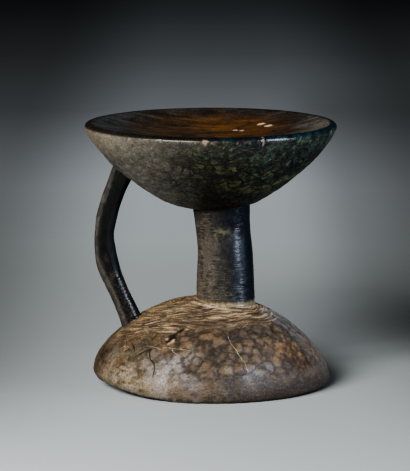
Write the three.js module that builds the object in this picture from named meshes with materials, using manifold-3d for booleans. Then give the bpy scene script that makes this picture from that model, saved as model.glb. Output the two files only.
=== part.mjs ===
// Low stool carved from one block of wood: a dished round seat on an off-centre round column,
// a domed foot below it, and one bent handle that joins the bowl of the seat to the dome.
// Millimetres, +Z up. The foot rests on z = 0 and the handle stands on the -X side.
import * as THREE from "three";
import { mergeVertices } from "three/addons/utils/BufferGeometryUtils.js";
import Module from "manifold-3d";

// Seat: the dish on top, the rounded lip and the bowl-shaped underside, all about one axis.
const SEAT_RADIUS = 160.6;
const SEAT_TOP = 336;
const DISH_DEPTH = 22;
const DISH_RADIUS = 153.5;
const DISH_POWER = 2.3;
const DISH_ROWS = 6;
const LIP_STATIONS = [
  [DISH_RADIUS, SEAT_TOP],
  [157.6, 335],
  [160.2, 332.4],
  [SEAT_RADIUS, 329.6],
  [158.4, 324.6],
];
const LIP_ROWS = 4;
const BOWL_STATIONS = [
  [158.4, 324.6],
  [151.6, 314],
  [142, 302],
  [129.6, 288],
  [117.2, 276.5],
  [97.6, 260.5],
  [75, 245],
  [54, 234],
  [30, 227.8],
  [0, 226],
];
const BOWL_ROWS = 15;

// Column: a slightly waisted round post that stands off the seat's axis and leans a little.
const COLUMN_STATIONS = [
  [37.2, 240],
  [36, 224],
  [34.3, 203],
  [34.3, 170],
  [35.6, 143],
  [37.2, 108],
  [38, 84],
];
const COLUMN_TOP_X = 12.8;
const COLUMN_LOW_X = 18.2;
const COLUMN_TOP_Z = 224;
const COLUMN_LOW_Z = 165;
const COLUMN_ROWS = 10;
const COLUMN_SIDES = 44;

// Foot: a dome that swells to a rounded edge and turns under to a flat underside.
const FOOT_RADIUS = 151;
const DOME_STATIONS = [
  [0, 110],
  [22, 108.8],
  [45, 104.6],
  [64, 98.6],
  [84, 89.4],
  [105, 76.6],
  [124.5, 59],
  [139.5, 41.5],
  [148, 26],
  [FOOT_RADIUS, 13.5],
];
const DOME_ROWS = 20;
const DOME_X = -5;
const FOOT_STATIONS = [
  [FOOT_RADIUS, 13.5],
  [150.6, 7.5],
  [148.4, 2.4],
  [144.6, 0],
];
const FOOT_ROWS = 3;
const FOOT_X = 0.9;
const DOME_FOOT_Z = 40;
const HEWN_SIDES = 88;

// The edge of the foot is worn up off the floor on the handle's side: share of a turn either way
// of the direction given in degrees, height of the lift, and the radius it starts from.
const WORN_DIRECTION = 200;
const WORN_SPREAD = 62;
const WORN_LIFT = 7.5;
const WORN_FROM = 112;

// Adze work: staggered rows of shallow scoops, two rings of vertices and two sides to a scoop.
const DOME_SCOOP_DEPTH = 1.5;
const DOME_SCOOP_INNER = 58;
const DOME_SCOOP_OUTER = 92;
const BOWL_SCOOP_DEPTH = 0.7;
const BOWL_SCOOP_INNER = 60;
const BOWL_SCOOP_OUTER = 120;

// The carver's eye, not a lathe: small swells of the outline, in share of the radius.
const SEAT_SWELL = [0.005, 3, -1.2];
const FOOT_SWELL = [0.006, 3, 2.2];

// Handle: one stave, bent at an elbow, its section a square with well rounded corners.
const HANDLE_PATH = [
  [-108.5, 287],
  [-118.7, 262],
  [-129, 235],
  [-135.2, 211],
  [-138, 192],
  [-136.6, 169],
  [-130.4, 145],
  [-117.6, 113.5],
  [-107.5, 89],
  [-98, 66],
];
const HANDLE_HALF_WIDTH = 11.2;
const HANDLE_HALF_DEPTH = 13;
const HANDLE_SIDES = 12;
const HANDLE_ROUNDNESS = 3;
const HANDLE_STEPS = 26;
const HANDLE_FLARE = 0.14;
const HANDLE_FLARE_LENGTH = 0.16;

const WOOD_COLOUR = 0x5a4636;
const WOOD_ROUGHNESS = 0.55;

const wasm = await Module();
wasm.setup();

// Evenly spaced points along a smooth curve through the stations of a profile.
function smoothProfile(stations, rows) {
  const curve = new THREE.CatmullRomCurve3(
    stations.map(([radius, height]) => new THREE.Vector3(radius, height, 0)),
    false,
    "centripetal",
  );
  return curve.getSpacedPoints(rows).map((p) => new THREE.Vector2(p.x, p.y));
}

// The dish as points from its centre out to the lip.
function dishProfile() {
  const points = [];
  for (let row = 0; row <= DISH_ROWS; row++) {
    const share = row / DISH_ROWS;
    const height = SEAT_TOP - DISH_DEPTH * (1 - share ** DISH_POWER);
    points.push(new THREE.Vector2(DISH_RADIUS * share, height));
  }
  return points;
}

// A lathe solid about Z from a profile that runs top to bottom; its vertex rows keep their order.
function turned(points, sides) {
  const downUp = points.slice().reverse();
  downUp[0].x = 0;
  downUp[downUp.length - 1].x = 0;
  const geometry = new THREE.LatheGeometry(downUp, sides);
  geometry.rotateX(Math.PI / 2);
  return geometry;
}

// Moves every vertex by a rule that is given its place, its normal, its row and its side.
function reshape(geometry, rowCount, rule) {
  const positions = geometry.getAttribute("position");
  const normals = geometry.getAttribute("normal");
  const place = new THREE.Vector3();
  const normal = new THREE.Vector3();
  for (let i = 0; i < positions.count; i++) {
    place.fromBufferAttribute(positions, i);
    normal.fromBufferAttribute(normals, i);
    rule(place, normal, i % rowCount, Math.floor(i / rowCount));
    positions.setXYZ(i, place.x, place.y, place.z);
  }
  return geometry;
}

// Depth of the adze scoop under one vertex: 1 in the middle of a scoop, 0 on its edges.
function scoopShare(row, side) {
  const band = Math.floor(row / 2);
  const stagger = band % 2;
  const middle = row % 2 === 0 && (side + stagger) % 2 === 0;
  const uneven = 0.75 + 0.25 * Math.sin(5.1 * band + 2.7 * (side % HEWN_SIDES));
  return middle ? uneven : 0;
}

// Factor on the radius for a low, hand-cut swell of an outline.
function swell([size, waves, phase], place) {
  return 1 + size * Math.sin(waves * Math.atan2(place.y, place.x) + phase);
}

// Height by which the worn side of the foot's edge stands off the floor, for one vertex.
function wornLift(place) {
  const direction = THREE.MathUtils.radToDeg(Math.atan2(place.y, place.x));
  const off = Math.abs(THREE.MathUtils.euclideanModulo(direction - WORN_DIRECTION + 180, 360) - 180);
  const around = 1 - THREE.MathUtils.smoothstep(off, 0, WORN_SPREAD);
  const outward = THREE.MathUtils.smoothstep(Math.hypot(place.x, place.y), WORN_FROM, FOOT_RADIUS);
  const low = 1 - THREE.MathUtils.smoothstep(place.z, 2, 26);
  return WORN_LIFT * around * outward * low;
}

function seat() {
  const lip = smoothProfile(LIP_STATIONS, LIP_ROWS);
  const bowl = smoothProfile(BOWL_STATIONS, BOWL_ROWS);
  const points = [...dishProfile(), ...lip.slice(1), ...bowl.slice(1)];
  return reshape(turned(points, HEWN_SIDES), points.length, (place, normal, row, side) => {
    const radius = Math.hypot(place.x, place.y);
    const hewn = row < BOWL_ROWS
      ? THREE.MathUtils.smoothstep(radius, BOWL_SCOOP_INNER, BOWL_SCOOP_OUTER)
      : 0;
    const depth = BOWL_SCOOP_DEPTH * hewn * scoopShare(row, side);
    place.addScaledVector(normal, -depth);
    const factor = swell(SEAT_SWELL, place);
    place.x *= factor;
    place.y *= factor;
  });
}

function foot() {
  const dome = smoothProfile(DOME_STATIONS, DOME_ROWS);
  const edge = smoothProfile(FOOT_STATIONS, FOOT_ROWS);
  const points = [...dome, ...edge.slice(1), new THREE.Vector2(WORN_FROM, 0), new THREE.Vector2(0, 0)];
  const edgeRows = points.length - DOME_ROWS - 1;
  return reshape(turned(points, HEWN_SIDES), points.length, (place, normal, row, side) => {
    const radius = Math.hypot(place.x, place.y);
    const hewn = row >= edgeRows
      ? THREE.MathUtils.smoothstep(radius, DOME_SCOOP_INNER, DOME_SCOOP_OUTER)
      : 0;
    const depth = DOME_SCOOP_DEPTH * hewn * scoopShare(row, side);
    place.addScaledVector(normal, -depth);
    const factor = swell(FOOT_SWELL, place);
    place.z += wornLift(place);
    place.x *= factor;
    place.y *= factor;
    place.x += THREE.MathUtils.mapLinear(Math.min(place.z, DOME_FOOT_Z), 0, DOME_FOOT_Z, FOOT_X, DOME_X);
  });
}

function column() {
  const post = smoothProfile(COLUMN_STATIONS, COLUMN_ROWS);
  const top = new THREE.Vector2(0, COLUMN_STATIONS[0][1]);
  const low = new THREE.Vector2(0, COLUMN_STATIONS[COLUMN_STATIONS.length - 1][1]);
  const points = [top, ...post, low];
  return reshape(turned(points, COLUMN_SIDES), points.length, (place) => {
    const lean = THREE.MathUtils.clamp((COLUMN_TOP_Z - place.z) / (COLUMN_TOP_Z - COLUMN_LOW_Z), 0, 1);
    place.x += THREE.MathUtils.lerp(COLUMN_TOP_X, COLUMN_LOW_X, lean);
  });
}

// Section of the handle: a rounded square, wider front to back than across.
function handleSection() {
  const points = [];
  for (let side = 0; side < HANDLE_SIDES; side++) {
    const angle = (2 * Math.PI * (side + 0.5)) / HANDLE_SIDES;
    const across = Math.abs(Math.cos(angle)) ** (2 / HANDLE_ROUNDNESS) * Math.sign(Math.cos(angle));
    const deep = Math.abs(Math.sin(angle)) ** (2 / HANDLE_ROUNDNESS) * Math.sign(Math.sin(angle));
    points.push(new THREE.Vector2(HANDLE_HALF_WIDTH * across, HANDLE_HALF_DEPTH * deep));
  }
  return new THREE.Shape(points);
}

function handle() {
  const path = new THREE.CatmullRomCurve3(
    HANDLE_PATH.map(([x, z]) => new THREE.Vector3(x, 0, z)),
    false,
    "centripetal",
  );
  const geometry = new THREE.ExtrudeGeometry(handleSection(), {
    steps: HANDLE_STEPS,
    extrudePath: path,
    bevelEnabled: false,
  });
  const stations = path.getSpacedPoints(200);
  const positions = geometry.getAttribute("position");
  const place = new THREE.Vector3();
  for (let i = 0; i < positions.count; i++) {
    place.fromBufferAttribute(positions, i);
    const level = new THREE.Vector3(place.x, 0, place.z);
    const distances = stations.map((station) => station.distanceTo(level));
    const nearest = distances.indexOf(Math.min(...distances));
    const share = nearest / (stations.length - 1);
    const fromEnd = Math.min(share, 1 - share);
    const flare = 1 + HANDLE_FLARE * (1 - THREE.MathUtils.smoothstep(fromEnd, 0, HANDLE_FLARE_LENGTH));
    place.sub(stations[nearest]).multiplyScalar(flare).add(stations[nearest]);
    positions.setXYZ(i, place.x, place.y, place.z);
  }
  return geometry;
}

// A three.js geometry as a manifold-3d solid.
function solid(geometry) {
  const bare = geometry.clone();
  bare.deleteAttribute("normal");
  bare.deleteAttribute("uv");
  const merged = mergeVertices(bare, 1e-3);
  return new wasm.Manifold(
    new wasm.Mesh({
      numProp: 3,
      vertProperties: merged.getAttribute("position").array,
      triVerts: new Uint32Array(merged.index.array),
    }),
  );
}

// A manifold-3d solid back as a three.js geometry, moved so its box stands centred on the origin.
function grounded(body) {
  const mesh = body.getMesh();
  const geometry = new THREE.BufferGeometry();
  geometry.setAttribute("position", new THREE.BufferAttribute(mesh.vertProperties, 3));
  geometry.setIndex(new THREE.BufferAttribute(mesh.triVerts, 1));
  geometry.computeBoundingBox();
  const box = geometry.boundingBox;
  const middle = box.getCenter(new THREE.Vector3());
  geometry.translate(-middle.x, -middle.y, -box.min.z);
  geometry.computeVertexNormals();
  return geometry;
}

const block = [seat(), column(), foot(), handle()]
  .map(solid)
  .reduce((whole, piece) => whole.add(piece));

const stool = new THREE.Mesh(
  grounded(block),
  new THREE.MeshStandardMaterial({
    color: WOOD_COLOUR,
    roughness: WOOD_ROUGHNESS,
    metalness: 0,
  }),
);
stool.name = "stool";

const part = new THREE.Group();
part.name = "dan_stool";
part.add(stool);

export default part;
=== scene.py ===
"""Finished surface of a low stool carved from one block of wood.

A dished round seat stands on an off-centre column above a domed foot, and one bent handle joins
the bowl of the seat to the dome. Forms are worked out in millimetres and written in metres.
"""
import logging
import math
from dataclasses import dataclass
from enum import Enum
from functools import partial

import bpy
import numpy as np
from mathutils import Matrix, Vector


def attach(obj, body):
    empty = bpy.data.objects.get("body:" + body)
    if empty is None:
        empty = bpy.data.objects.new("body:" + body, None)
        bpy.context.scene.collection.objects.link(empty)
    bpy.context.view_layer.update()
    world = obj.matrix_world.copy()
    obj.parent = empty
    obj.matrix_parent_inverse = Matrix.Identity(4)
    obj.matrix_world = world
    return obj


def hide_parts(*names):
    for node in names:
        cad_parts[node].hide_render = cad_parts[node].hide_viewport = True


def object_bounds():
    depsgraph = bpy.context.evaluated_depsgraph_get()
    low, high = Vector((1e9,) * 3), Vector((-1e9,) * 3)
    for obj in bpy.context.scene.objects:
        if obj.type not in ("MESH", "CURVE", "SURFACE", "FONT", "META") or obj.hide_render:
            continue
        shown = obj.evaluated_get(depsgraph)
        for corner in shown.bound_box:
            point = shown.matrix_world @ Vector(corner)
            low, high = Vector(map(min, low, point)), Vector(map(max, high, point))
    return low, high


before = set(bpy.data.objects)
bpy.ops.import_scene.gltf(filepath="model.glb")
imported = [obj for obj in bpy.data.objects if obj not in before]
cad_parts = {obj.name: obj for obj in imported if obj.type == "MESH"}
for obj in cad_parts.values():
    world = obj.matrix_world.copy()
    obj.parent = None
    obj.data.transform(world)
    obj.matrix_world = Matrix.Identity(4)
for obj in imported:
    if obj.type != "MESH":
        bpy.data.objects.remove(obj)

CAD_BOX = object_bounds()
MM = 0.001
TURN = 2.0 * math.pi
LOG = logging.getLogger("stool")
Array = np.ndarray
CURVE_STEPS = 200
SPAN_STEPS = 33
SHADED = ("polish", "strokes", "ticks", "crackle", "worn", "scratch", "scratched", "crack", "cracked")


# Numbers, colours and noise


def ease(value: Array, low: float, high: float) -> Array:
    """Smooth step from 0 at low to 1 at high: t*t*(3 - 2t) of the clamped share t."""
    share = np.clip((value - low) / (high - low), 0.0, 1.0)
    return share * share * (3.0 - 2.0 * share)


def fade(value: Array, low: float, high: float) -> Array:
    """Smooth step from 1 at low to 0 at high."""
    return 1.0 - ease(value, low, high)


def near(value: Array, middle: float, reach: float) -> Array:
    """1 at middle, falling smoothly to 0 at reach on either side."""
    return fade(np.abs(value - middle), 0.0, reach)


def turned_off(direction: Array, middle: float) -> Array:
    """Degrees between directions and a middle one, the short way round."""
    return np.abs((direction - middle + 180.0) % 360.0 - 180.0)


def toward(direction: Array, middle: float, reach: float) -> Array:
    """1 in the middle direction, falling smoothly to 0 so many degrees to either side of it."""
    return fade(turned_off(direction, middle), 0.0, reach)


def linear_rgb(code: str) -> tuple[float, float, float]:
    """Turns an sRGB hex colour into linear numbers.

    Args:
        code: six hex digits after a hash sign.

    Returns:
        Red, green and blue, each c/12.92 up to 0.04045 and ((c + 0.055)/1.055)^2.4 above.
    """
    parts = [int(code[i : i + 2], 16) / 255 for i in (1, 3, 5)]
    return tuple(c / 12.92 if c <= 0.04045 else ((c + 0.055) / 1.055) ** 2.4 for c in parts)


def evenly(code: str, place: Array) -> Array:
    """One hex colour, in linear numbers, for every point."""
    return np.tile(linear_rgb(code), (len(place), 1))


def painted(colour: Array, *coats: tuple[str, Array]) -> Array:
    """Lays coats of colour over one another.

    Each coat moves the colour towards its own: colour * (1 - weight) + coat * weight.

    Args:
        colour: linear colours under the coats, one for each point.
        coats: hex colour of each coat and its weight at each point, kept from 0 to 1.

    Returns:
        The colours after the last coat.
    """
    for code, weight in coats:
        share = np.clip(weight, 0.0, 1.0)[:, None]
        colour = colour * (1.0 - share) + np.array(linear_rgb(code)) * share
    return colour


def scattered(cells: Array, seed: int) -> Array:
    """Repeatable random numbers for whole-number cells.

    The three cell numbers are each multiplied by a large odd number and joined with the seed by
    exclusive or; the result is stirred twice, and its low 24 bits over 2^24 are the answer.

    Args:
        cells: whole numbers, last axis of three.
        seed: which of many patterns.

    Returns:
        Numbers from 0 to 1, one for each cell.
    """
    whole = cells.astype(np.int64).astype(np.uint64)
    mixed = (
        whole[..., 0] * np.uint64(0x9E3779B97F4A7C15)
        ^ whole[..., 1] * np.uint64(0xC2B2AE3D27D4EB4F)
        ^ whole[..., 2] * np.uint64(0x165667B19E3779F9)
        ^ np.uint64(seed * 2654435761 + 97)
    )
    for shift in (29, 32):
        mixed = (mixed ^ (mixed >> np.uint64(shift))) * np.uint64(0xBF58476D1CE4E5B9)
    mixed = mixed ^ (mixed >> np.uint64(31))
    return (mixed & np.uint64(0xFFFFFF)).astype(np.float64) / float(1 << 24)


def noise(points: Array, seed: int) -> Array:
    """Smooth noise: the random corners of each unit cube, blended by t*t*(3 - 2t) of the share t.

    Args:
        points: places, counted in cubes.
        seed: which of many patterns.

    Returns:
        Numbers from -1 to 1.
    """
    base = np.floor(points)
    share = points - base
    share = share * share * (3.0 - 2.0 * share)
    total = np.zeros(points.shape[:-1])
    for corner in np.ndindex(2, 2, 2):
        side = np.array(corner)
        weight = np.prod(np.where(side == 1, share, 1.0 - share), axis=-1)
        total += weight * scattered(base + side, seed)
    return 2.0 * total - 1.0


def layered(points: Array, seed: int, layers: int = 3) -> Array:
    """Sum of noises, each twice as fine and half as strong as the last.

    Args:
        points: places, counted in cubes of the coarsest noise.
        seed: which of many patterns.
        layers: how many noises.

    Returns:
        Numbers from -1 to 1.
    """
    total = np.zeros(points.shape[:-1])
    for layer in range(layers):
        total += noise(points * 2.0**layer + 17.3 * layer, seed + layer) * 0.5**layer
    return np.clip(total * 1.25, -1.0, 1.0)


def cells(points: Array, seed: int) -> tuple[Array, Array, Array]:
    """Cell pattern with one random site in each unit cube.

    Args:
        points: places, counted in cells.
        seed: which of many patterns.

    Returns:
        Distance to the nearest site, distance to the second nearest, and a random number from 0
        to 1 that is the same all over one cell.
    """
    base = np.floor(points)
    first = np.full(points.shape[:-1], 9.0)
    second = first.copy()
    name = np.zeros(points.shape[:-1])
    for step in np.ndindex(3, 3, 3):
        cell = base + np.array(step) - 1.0
        site = cell + np.stack([scattered(cell, seed + k) for k in range(3)], axis=-1)
        reach = np.linalg.norm(points - site, axis=-1)
        closer = reach < first
        second = np.where(closer, first, np.minimum(second, reach))
        name = np.where(closer, scattered(cell, seed + 3), name)
        first = np.where(closer, reach, first)
    return first, second, name


def along_lines(points: Array, lines: list[list[tuple[float, float]]]) -> tuple[Array, Array]:
    """Distance from flat points to the nearest of several broken lines.

    Args:
        points: two numbers each.
        lines: lines of corners; each stretch is measured by the foot of the perpendicular on it,
            kept between its two ends.

    Returns:
        The distance, positive to the left of the line and negative to the right, and its size.
    """
    nearest = np.full(len(points), 1e9)
    offset = np.zeros(len(points))
    for line in lines:
        corners = np.array(line, float)
        for start, end in zip(corners[:-1], corners[1:]):
            span = end - start
            share = np.clip(((points - start) @ span) / (span @ span), 0.0, 1.0)
            away = points - start - share[:, None] * span
            reach = np.linalg.norm(away, axis=1)
            side = np.where(span[0] * away[:, 1] > span[1] * away[:, 0], 1.0, -1.0)
            offset = np.where(reach < nearest, side * reach, offset)
            nearest = np.minimum(nearest, reach)
    return offset, nearest


def dashes(lay: Array, count: int, spacing: float, width: float, seed: int) -> Array:
    """Long thin marks round a turned form, one in each cell of a grid that closes on itself.

    A mark is 1 on its middle line and falls smoothly to 0 at its width on either side and at its
    two ends. Its place in the cell, its slant and its strength are its own.

    Args:
        lay: share of a full turn, and millimetres down, for each point.
        count: cells in a full turn; a mark is up to two cells long.
        spacing: height of a cell in millimetres.
        width: half the width of a mark in millimetres.
        seed: which of many patterns.

    Returns:
        Strength of the marks at each point, from 0 to 1.
    """
    base = np.floor(lay * (count, 1.0 / spacing))
    strongest = np.zeros(len(lay))
    for step in np.ndindex(3, 3):
        cell = base + np.array(step) - 1.0
        named = np.stack([cell[:, 0] % count, cell[:, 1], 0.0 * cell[:, 0]], -1)
        chance = [scattered(named, seed + k) for k in range(4)]
        along = lay[:, 0] * count - cell[:, 0] - chance[0]
        off = lay[:, 1] - (cell[:, 1] + chance[1] + (chance[2] - 0.5) * along) * spacing
        mark = fade(np.abs(off), 0.2 * width, width) * fade(np.abs(along), 0.5, 0.98)
        strongest = np.maximum(strongest, mark * (0.35 + 0.65 * chance[3]))
    return strongest


def smooth_curve(stations: tuple | list, count: int) -> Array:
    """Evenly spaced points on a centripetal Catmull-Rom curve.

    Each span blends its four nearest stations by the pyramid of linear blends over knots that
    lie the square root of the distance apart; a mirrored station is added past either end.

    Args:
        stations: the points that the curve passes through.
        count: how many points to return, ends included.

    Returns:
        Array of count points.
    """
    knots = np.array(stations, float)
    knots = np.vstack([2 * knots[0] - knots[1], knots, 2 * knots[-1] - knots[-2]])
    share = np.linspace(0.0, 1.0, SPAN_STEPS)[:, None]
    spans = []
    for i in range(1, len(knots) - 2):
        p = knots[i - 1 : i + 3]
        t = np.concatenate([[0.0], np.cumsum(np.linalg.norm(np.diff(p, axis=0), axis=1) ** 0.5)])
        at = t[1] + (t[2] - t[1]) * share
        a = [((t[k + 1] - at) * p[k] + (at - t[k]) * p[k + 1]) / (t[k + 1] - t[k]) for k in range(3)]
        b = [((t[k + 2] - at) * a[k] + (at - t[k]) * a[k + 1]) / (t[k + 2] - t[k]) for k in range(2)]
        spans.append((((t[2] - at) * b[0] + (at - t[1]) * b[1]) / (t[2] - t[1]))[:-1])
    path = np.vstack([*spans, knots[-2][None]])
    run = run_of(path)
    even = np.linspace(0.0, run[-1], count)
    return np.stack([np.interp(even, run, path[:, k]) for k in range(path.shape[1])], axis=-1)


def run_of(path: Array) -> Array:
    """Distance run along a path at each of its points."""
    return np.concatenate([[0.0], np.cumsum(np.linalg.norm(np.diff(path, axis=0), axis=1))])


# Surfaces


@dataclass
class Dressing:
    """What the tools and the years did to a stretch of surface, one value for each point; in places
    its colour also holds painted light and shade.

    Attributes:
        height: how far the surface stands out from the plain form, in millimetres.
        colour: linear red, green and blue, with painted light and shade in places.
        polish: 0 for dusty and matt, 1 for rubbed bright.
        lay: place along the carving's own directions, in millimetres, for fine marks.
        strokes: share of fine raised grain.
        ticks: share of fine tool ticks across the form.
        crackle: share of dark crackle lines.
        worn: share of fine scuffs, light and dark.
        scratch: signed distance to the nearest pale scratch, in millimetres.
        scratched: 1 close to a scratch, 0 away from it.
        crack: signed distance to the nearest dark crack, in millimetres.
        cracked: 1 close to a crack, 0 away from it.
    """

    height: Array
    colour: Array
    polish: Array
    lay: Array
    strokes: Array | float = 0.0
    ticks: Array | float = 0.0
    crackle: Array | float = 0.0
    worn: Array | float = 0.0
    scratch: Array | float = 0.0
    scratched: Array | float = 0.0
    crack: Array | float = 0.0
    cracked: Array | float = 0.0

    def __post_init__(self) -> None:
        """Spreads a single value over all points."""
        for name in SHADED:
            setattr(self, name, getattr(self, name) + np.zeros(len(self.height)))

    def picked(self, numbers: Array) -> "Dressing":
        """The dressing of the points with these numbers."""
        return Dressing(*[getattr(self, name)[numbers] for name in Dressing.__dataclass_fields__])

    @staticmethod
    def joined(parts: list["Dressing"]) -> "Dressing":
        """One dressing from several, in order."""
        names = list(Dressing.__dataclass_fields__)
        return Dressing(*[np.concatenate([getattr(p, name) for p in parts]) for name in names])


@dataclass(frozen=True)
class Surface:
    """Points, triangles and dressing of a closed surface, in millimetres."""

    place: Array
    faces: Array
    dressing: Dressing

    def normals(self) -> Array:
        """Works out which way the surface faces.

        Returns:
            Unit normals at the points: the sum of the cross products of the faces round each.
        """
        corner = self.place[self.faces]
        cross = np.cross(corner[:, 1] - corner[:, 0], corner[:, 2] - corner[:, 0])
        total = np.zeros_like(self.place)
        for axis in range(3):
            for k in range(3):
                total[:, axis] += np.bincount(self.faces[:, k], cross[:, axis], len(total))
        return total / np.maximum(np.linalg.norm(total, axis=1, keepdims=True), 1e-12)

    def carved(self) -> Array:
        """Points moved out along their normals by the dressing's height."""
        return self.place + self.normals() * self.dressing.height[:, None]


def zipped(first: int, count: int, second: int, other: int) -> Array:
    """Triangles between two closed rings, with any number of points in each.

    Edge i of a ring of n points is passed at time (i + 0.5)/n, and each edge is joined to the
    point that the other ring has reached by then.

    Args:
        first: number of the first ring's first point.
        count: points in the first ring.
        second: number of the second ring's first point.
        other: points in the second ring.

    Returns:
        Triangles that face outward where the second ring lies below the first.
    """
    a, b = np.arange(count), np.arange(other)
    time_a, time_b = (a + 0.5) / count, (b + 0.5) / other
    met_b = np.searchsorted(time_b, time_a, side="left") % other
    met_a = np.searchsorted(time_a, time_b, side="right") % count
    upper = np.stack([first + a, second + met_b, first + (a + 1) % count], -1)
    lower = np.stack([second + b, second + (b + 1) % other, first + met_a], -1)
    return np.concatenate([upper, lower])


class Closing(Enum):
    """Which end of a form a point closes."""

    TOP = "top"
    BOTTOM = "bottom"


def fan(centre: int, first: int, count: int, closing: Closing) -> Array:
    """Triangles from one point to a closed ring.

    Args:
        centre: number of the point.
        first: number of the ring's first point.
        count: points in the ring.
        closing: which end of the form the point closes.

    Returns:
        Triangles that face up at the top and down at the bottom.
    """
    a = first + np.arange(count)
    b = first + (np.arange(count) + 1) % count
    middle = np.full(count, centre)
    return np.stack([middle, a, b] if closing is Closing.TOP else [middle, b, a], -1)


def closed_by_rings(rings: list[Array]) -> tuple[Array, Array]:
    """Joins rings from top to bottom and closes each end with a point at its middle.

    Args:
        rings: closed rings of points, each counted the same way round.

    Returns:
        All points, the two end points last, and the triangles.
    """
    sizes = np.array([len(ring) for ring in rings])
    starts = np.concatenate([[0], np.cumsum(sizes)])
    ends = np.stack([rings[0].mean(axis=0), rings[-1].mean(axis=0)])
    faces = [zipped(starts[i], sizes[i], starts[i + 1], sizes[i + 1]) for i in range(len(rings) - 1)]
    faces.append(fan(starts[-1], 0, sizes[0], Closing.TOP))
    faces.append(fan(starts[-1] + 1, starts[-2], sizes[-1], Closing.BOTTOM))
    return np.concatenate([*rings, ends]), np.concatenate(faces)


def ring_sides(radius: float, spacing: float) -> int:
    """Number of points in a ring, for a spacing in millimetres, in steps of eight."""
    return max(24, 8 * round(TURN * radius / spacing / 8))


def directions(sides: int) -> Array:
    """Evenly spaced directions all the way round, in radians."""
    return TURN * np.arange(sides) / sides


def round_ring(x: float, y: float, radius: float | Array, height: float | Array, sides: int) -> Array:
    """Ring of points about an upright axis at x, y."""
    turn = directions(sides)
    return np.stack([x + radius * np.cos(turn), y + radius * np.sin(turn), height + 0.0 * turn], -1)


def swell_factor(turn: Array, swell: tuple[float, float, float]) -> Array:
    """Radius factor 1 + size * sin(waves * turn + phase) of a hand-cut circle."""
    return 1.0 + swell[0] * np.sin(swell[1] * turn + swell[2])


def polar(place: Array, x: float | Array, y: float) -> tuple[Array, Array, Array]:
    """Measures points about an upright axis.

    Args:
        place: the points.
        x: the axis across the stool, or its place at each point's height.
        y: the axis from front to back.

    Returns:
        Direction in degrees, distance, and direction as a unit vector.
    """
    flat = np.stack([place[:, 0] - x, place[:, 1] - y], -1)
    radius = np.linalg.norm(flat, axis=1)
    unit = flat / np.maximum(radius, 1.0)[:, None]
    return np.degrees(np.arctan2(flat[:, 1], flat[:, 0])), radius, unit


def mark_reach(facing: Array, radius: Array, mark: tuple[float, ...]) -> Array:
    """Distance from a mark on a turned form, as a share of the mark's own size.

    The way round, the degrees off times the radius, is divided by the mark's half width; the way
    out by its half depth; and the two are joined by the rule of Pythagoras.

    Args:
        facing: direction of each point in degrees.
        radius: distance of each point from the axis.
        mark: direction, distance from the axis, half width and half depth.

    Returns:
        0 at the mark's middle and 1 at its border.
    """
    direction, distance, wide, deep = mark
    across = turned_off(facing, direction) * math.radians(1.0) * radius
    return np.hypot(across / wide, (radius - distance) / deep)


def walked(outline: Array, steps: Array) -> list[tuple[float, float]]:
    """Radius and height at distances run along an outline."""
    run = run_of(outline)
    return list(zip(*(np.interp(steps, run, outline[:, k]) for k in range(2))))


@dataclass(frozen=True)
class Outline:
    """Outline of a turned form: radius and height at its stations, in millimetres, top first."""

    stations: tuple
    steps: int = 1200

    def curve(self) -> Array:
        """The outline in fine steps."""
        return smooth_curve(self.stations, self.steps)

    def at(self, radius: float | Array) -> tuple[Array, Array]:
        """Finds the outline's point at a radius.

        Args:
            radius: distance from the form's axis.

        Returns:
            Its height, and the distance run down the outline to it.
        """
        curve = self.curve()
        order = np.argsort(curve[:, 0])
        height, run = (np.interp(radius, curve[order, 0], v[order]) for v in (curve[:, 1], run_of(curve)))
        return height, run


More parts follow.
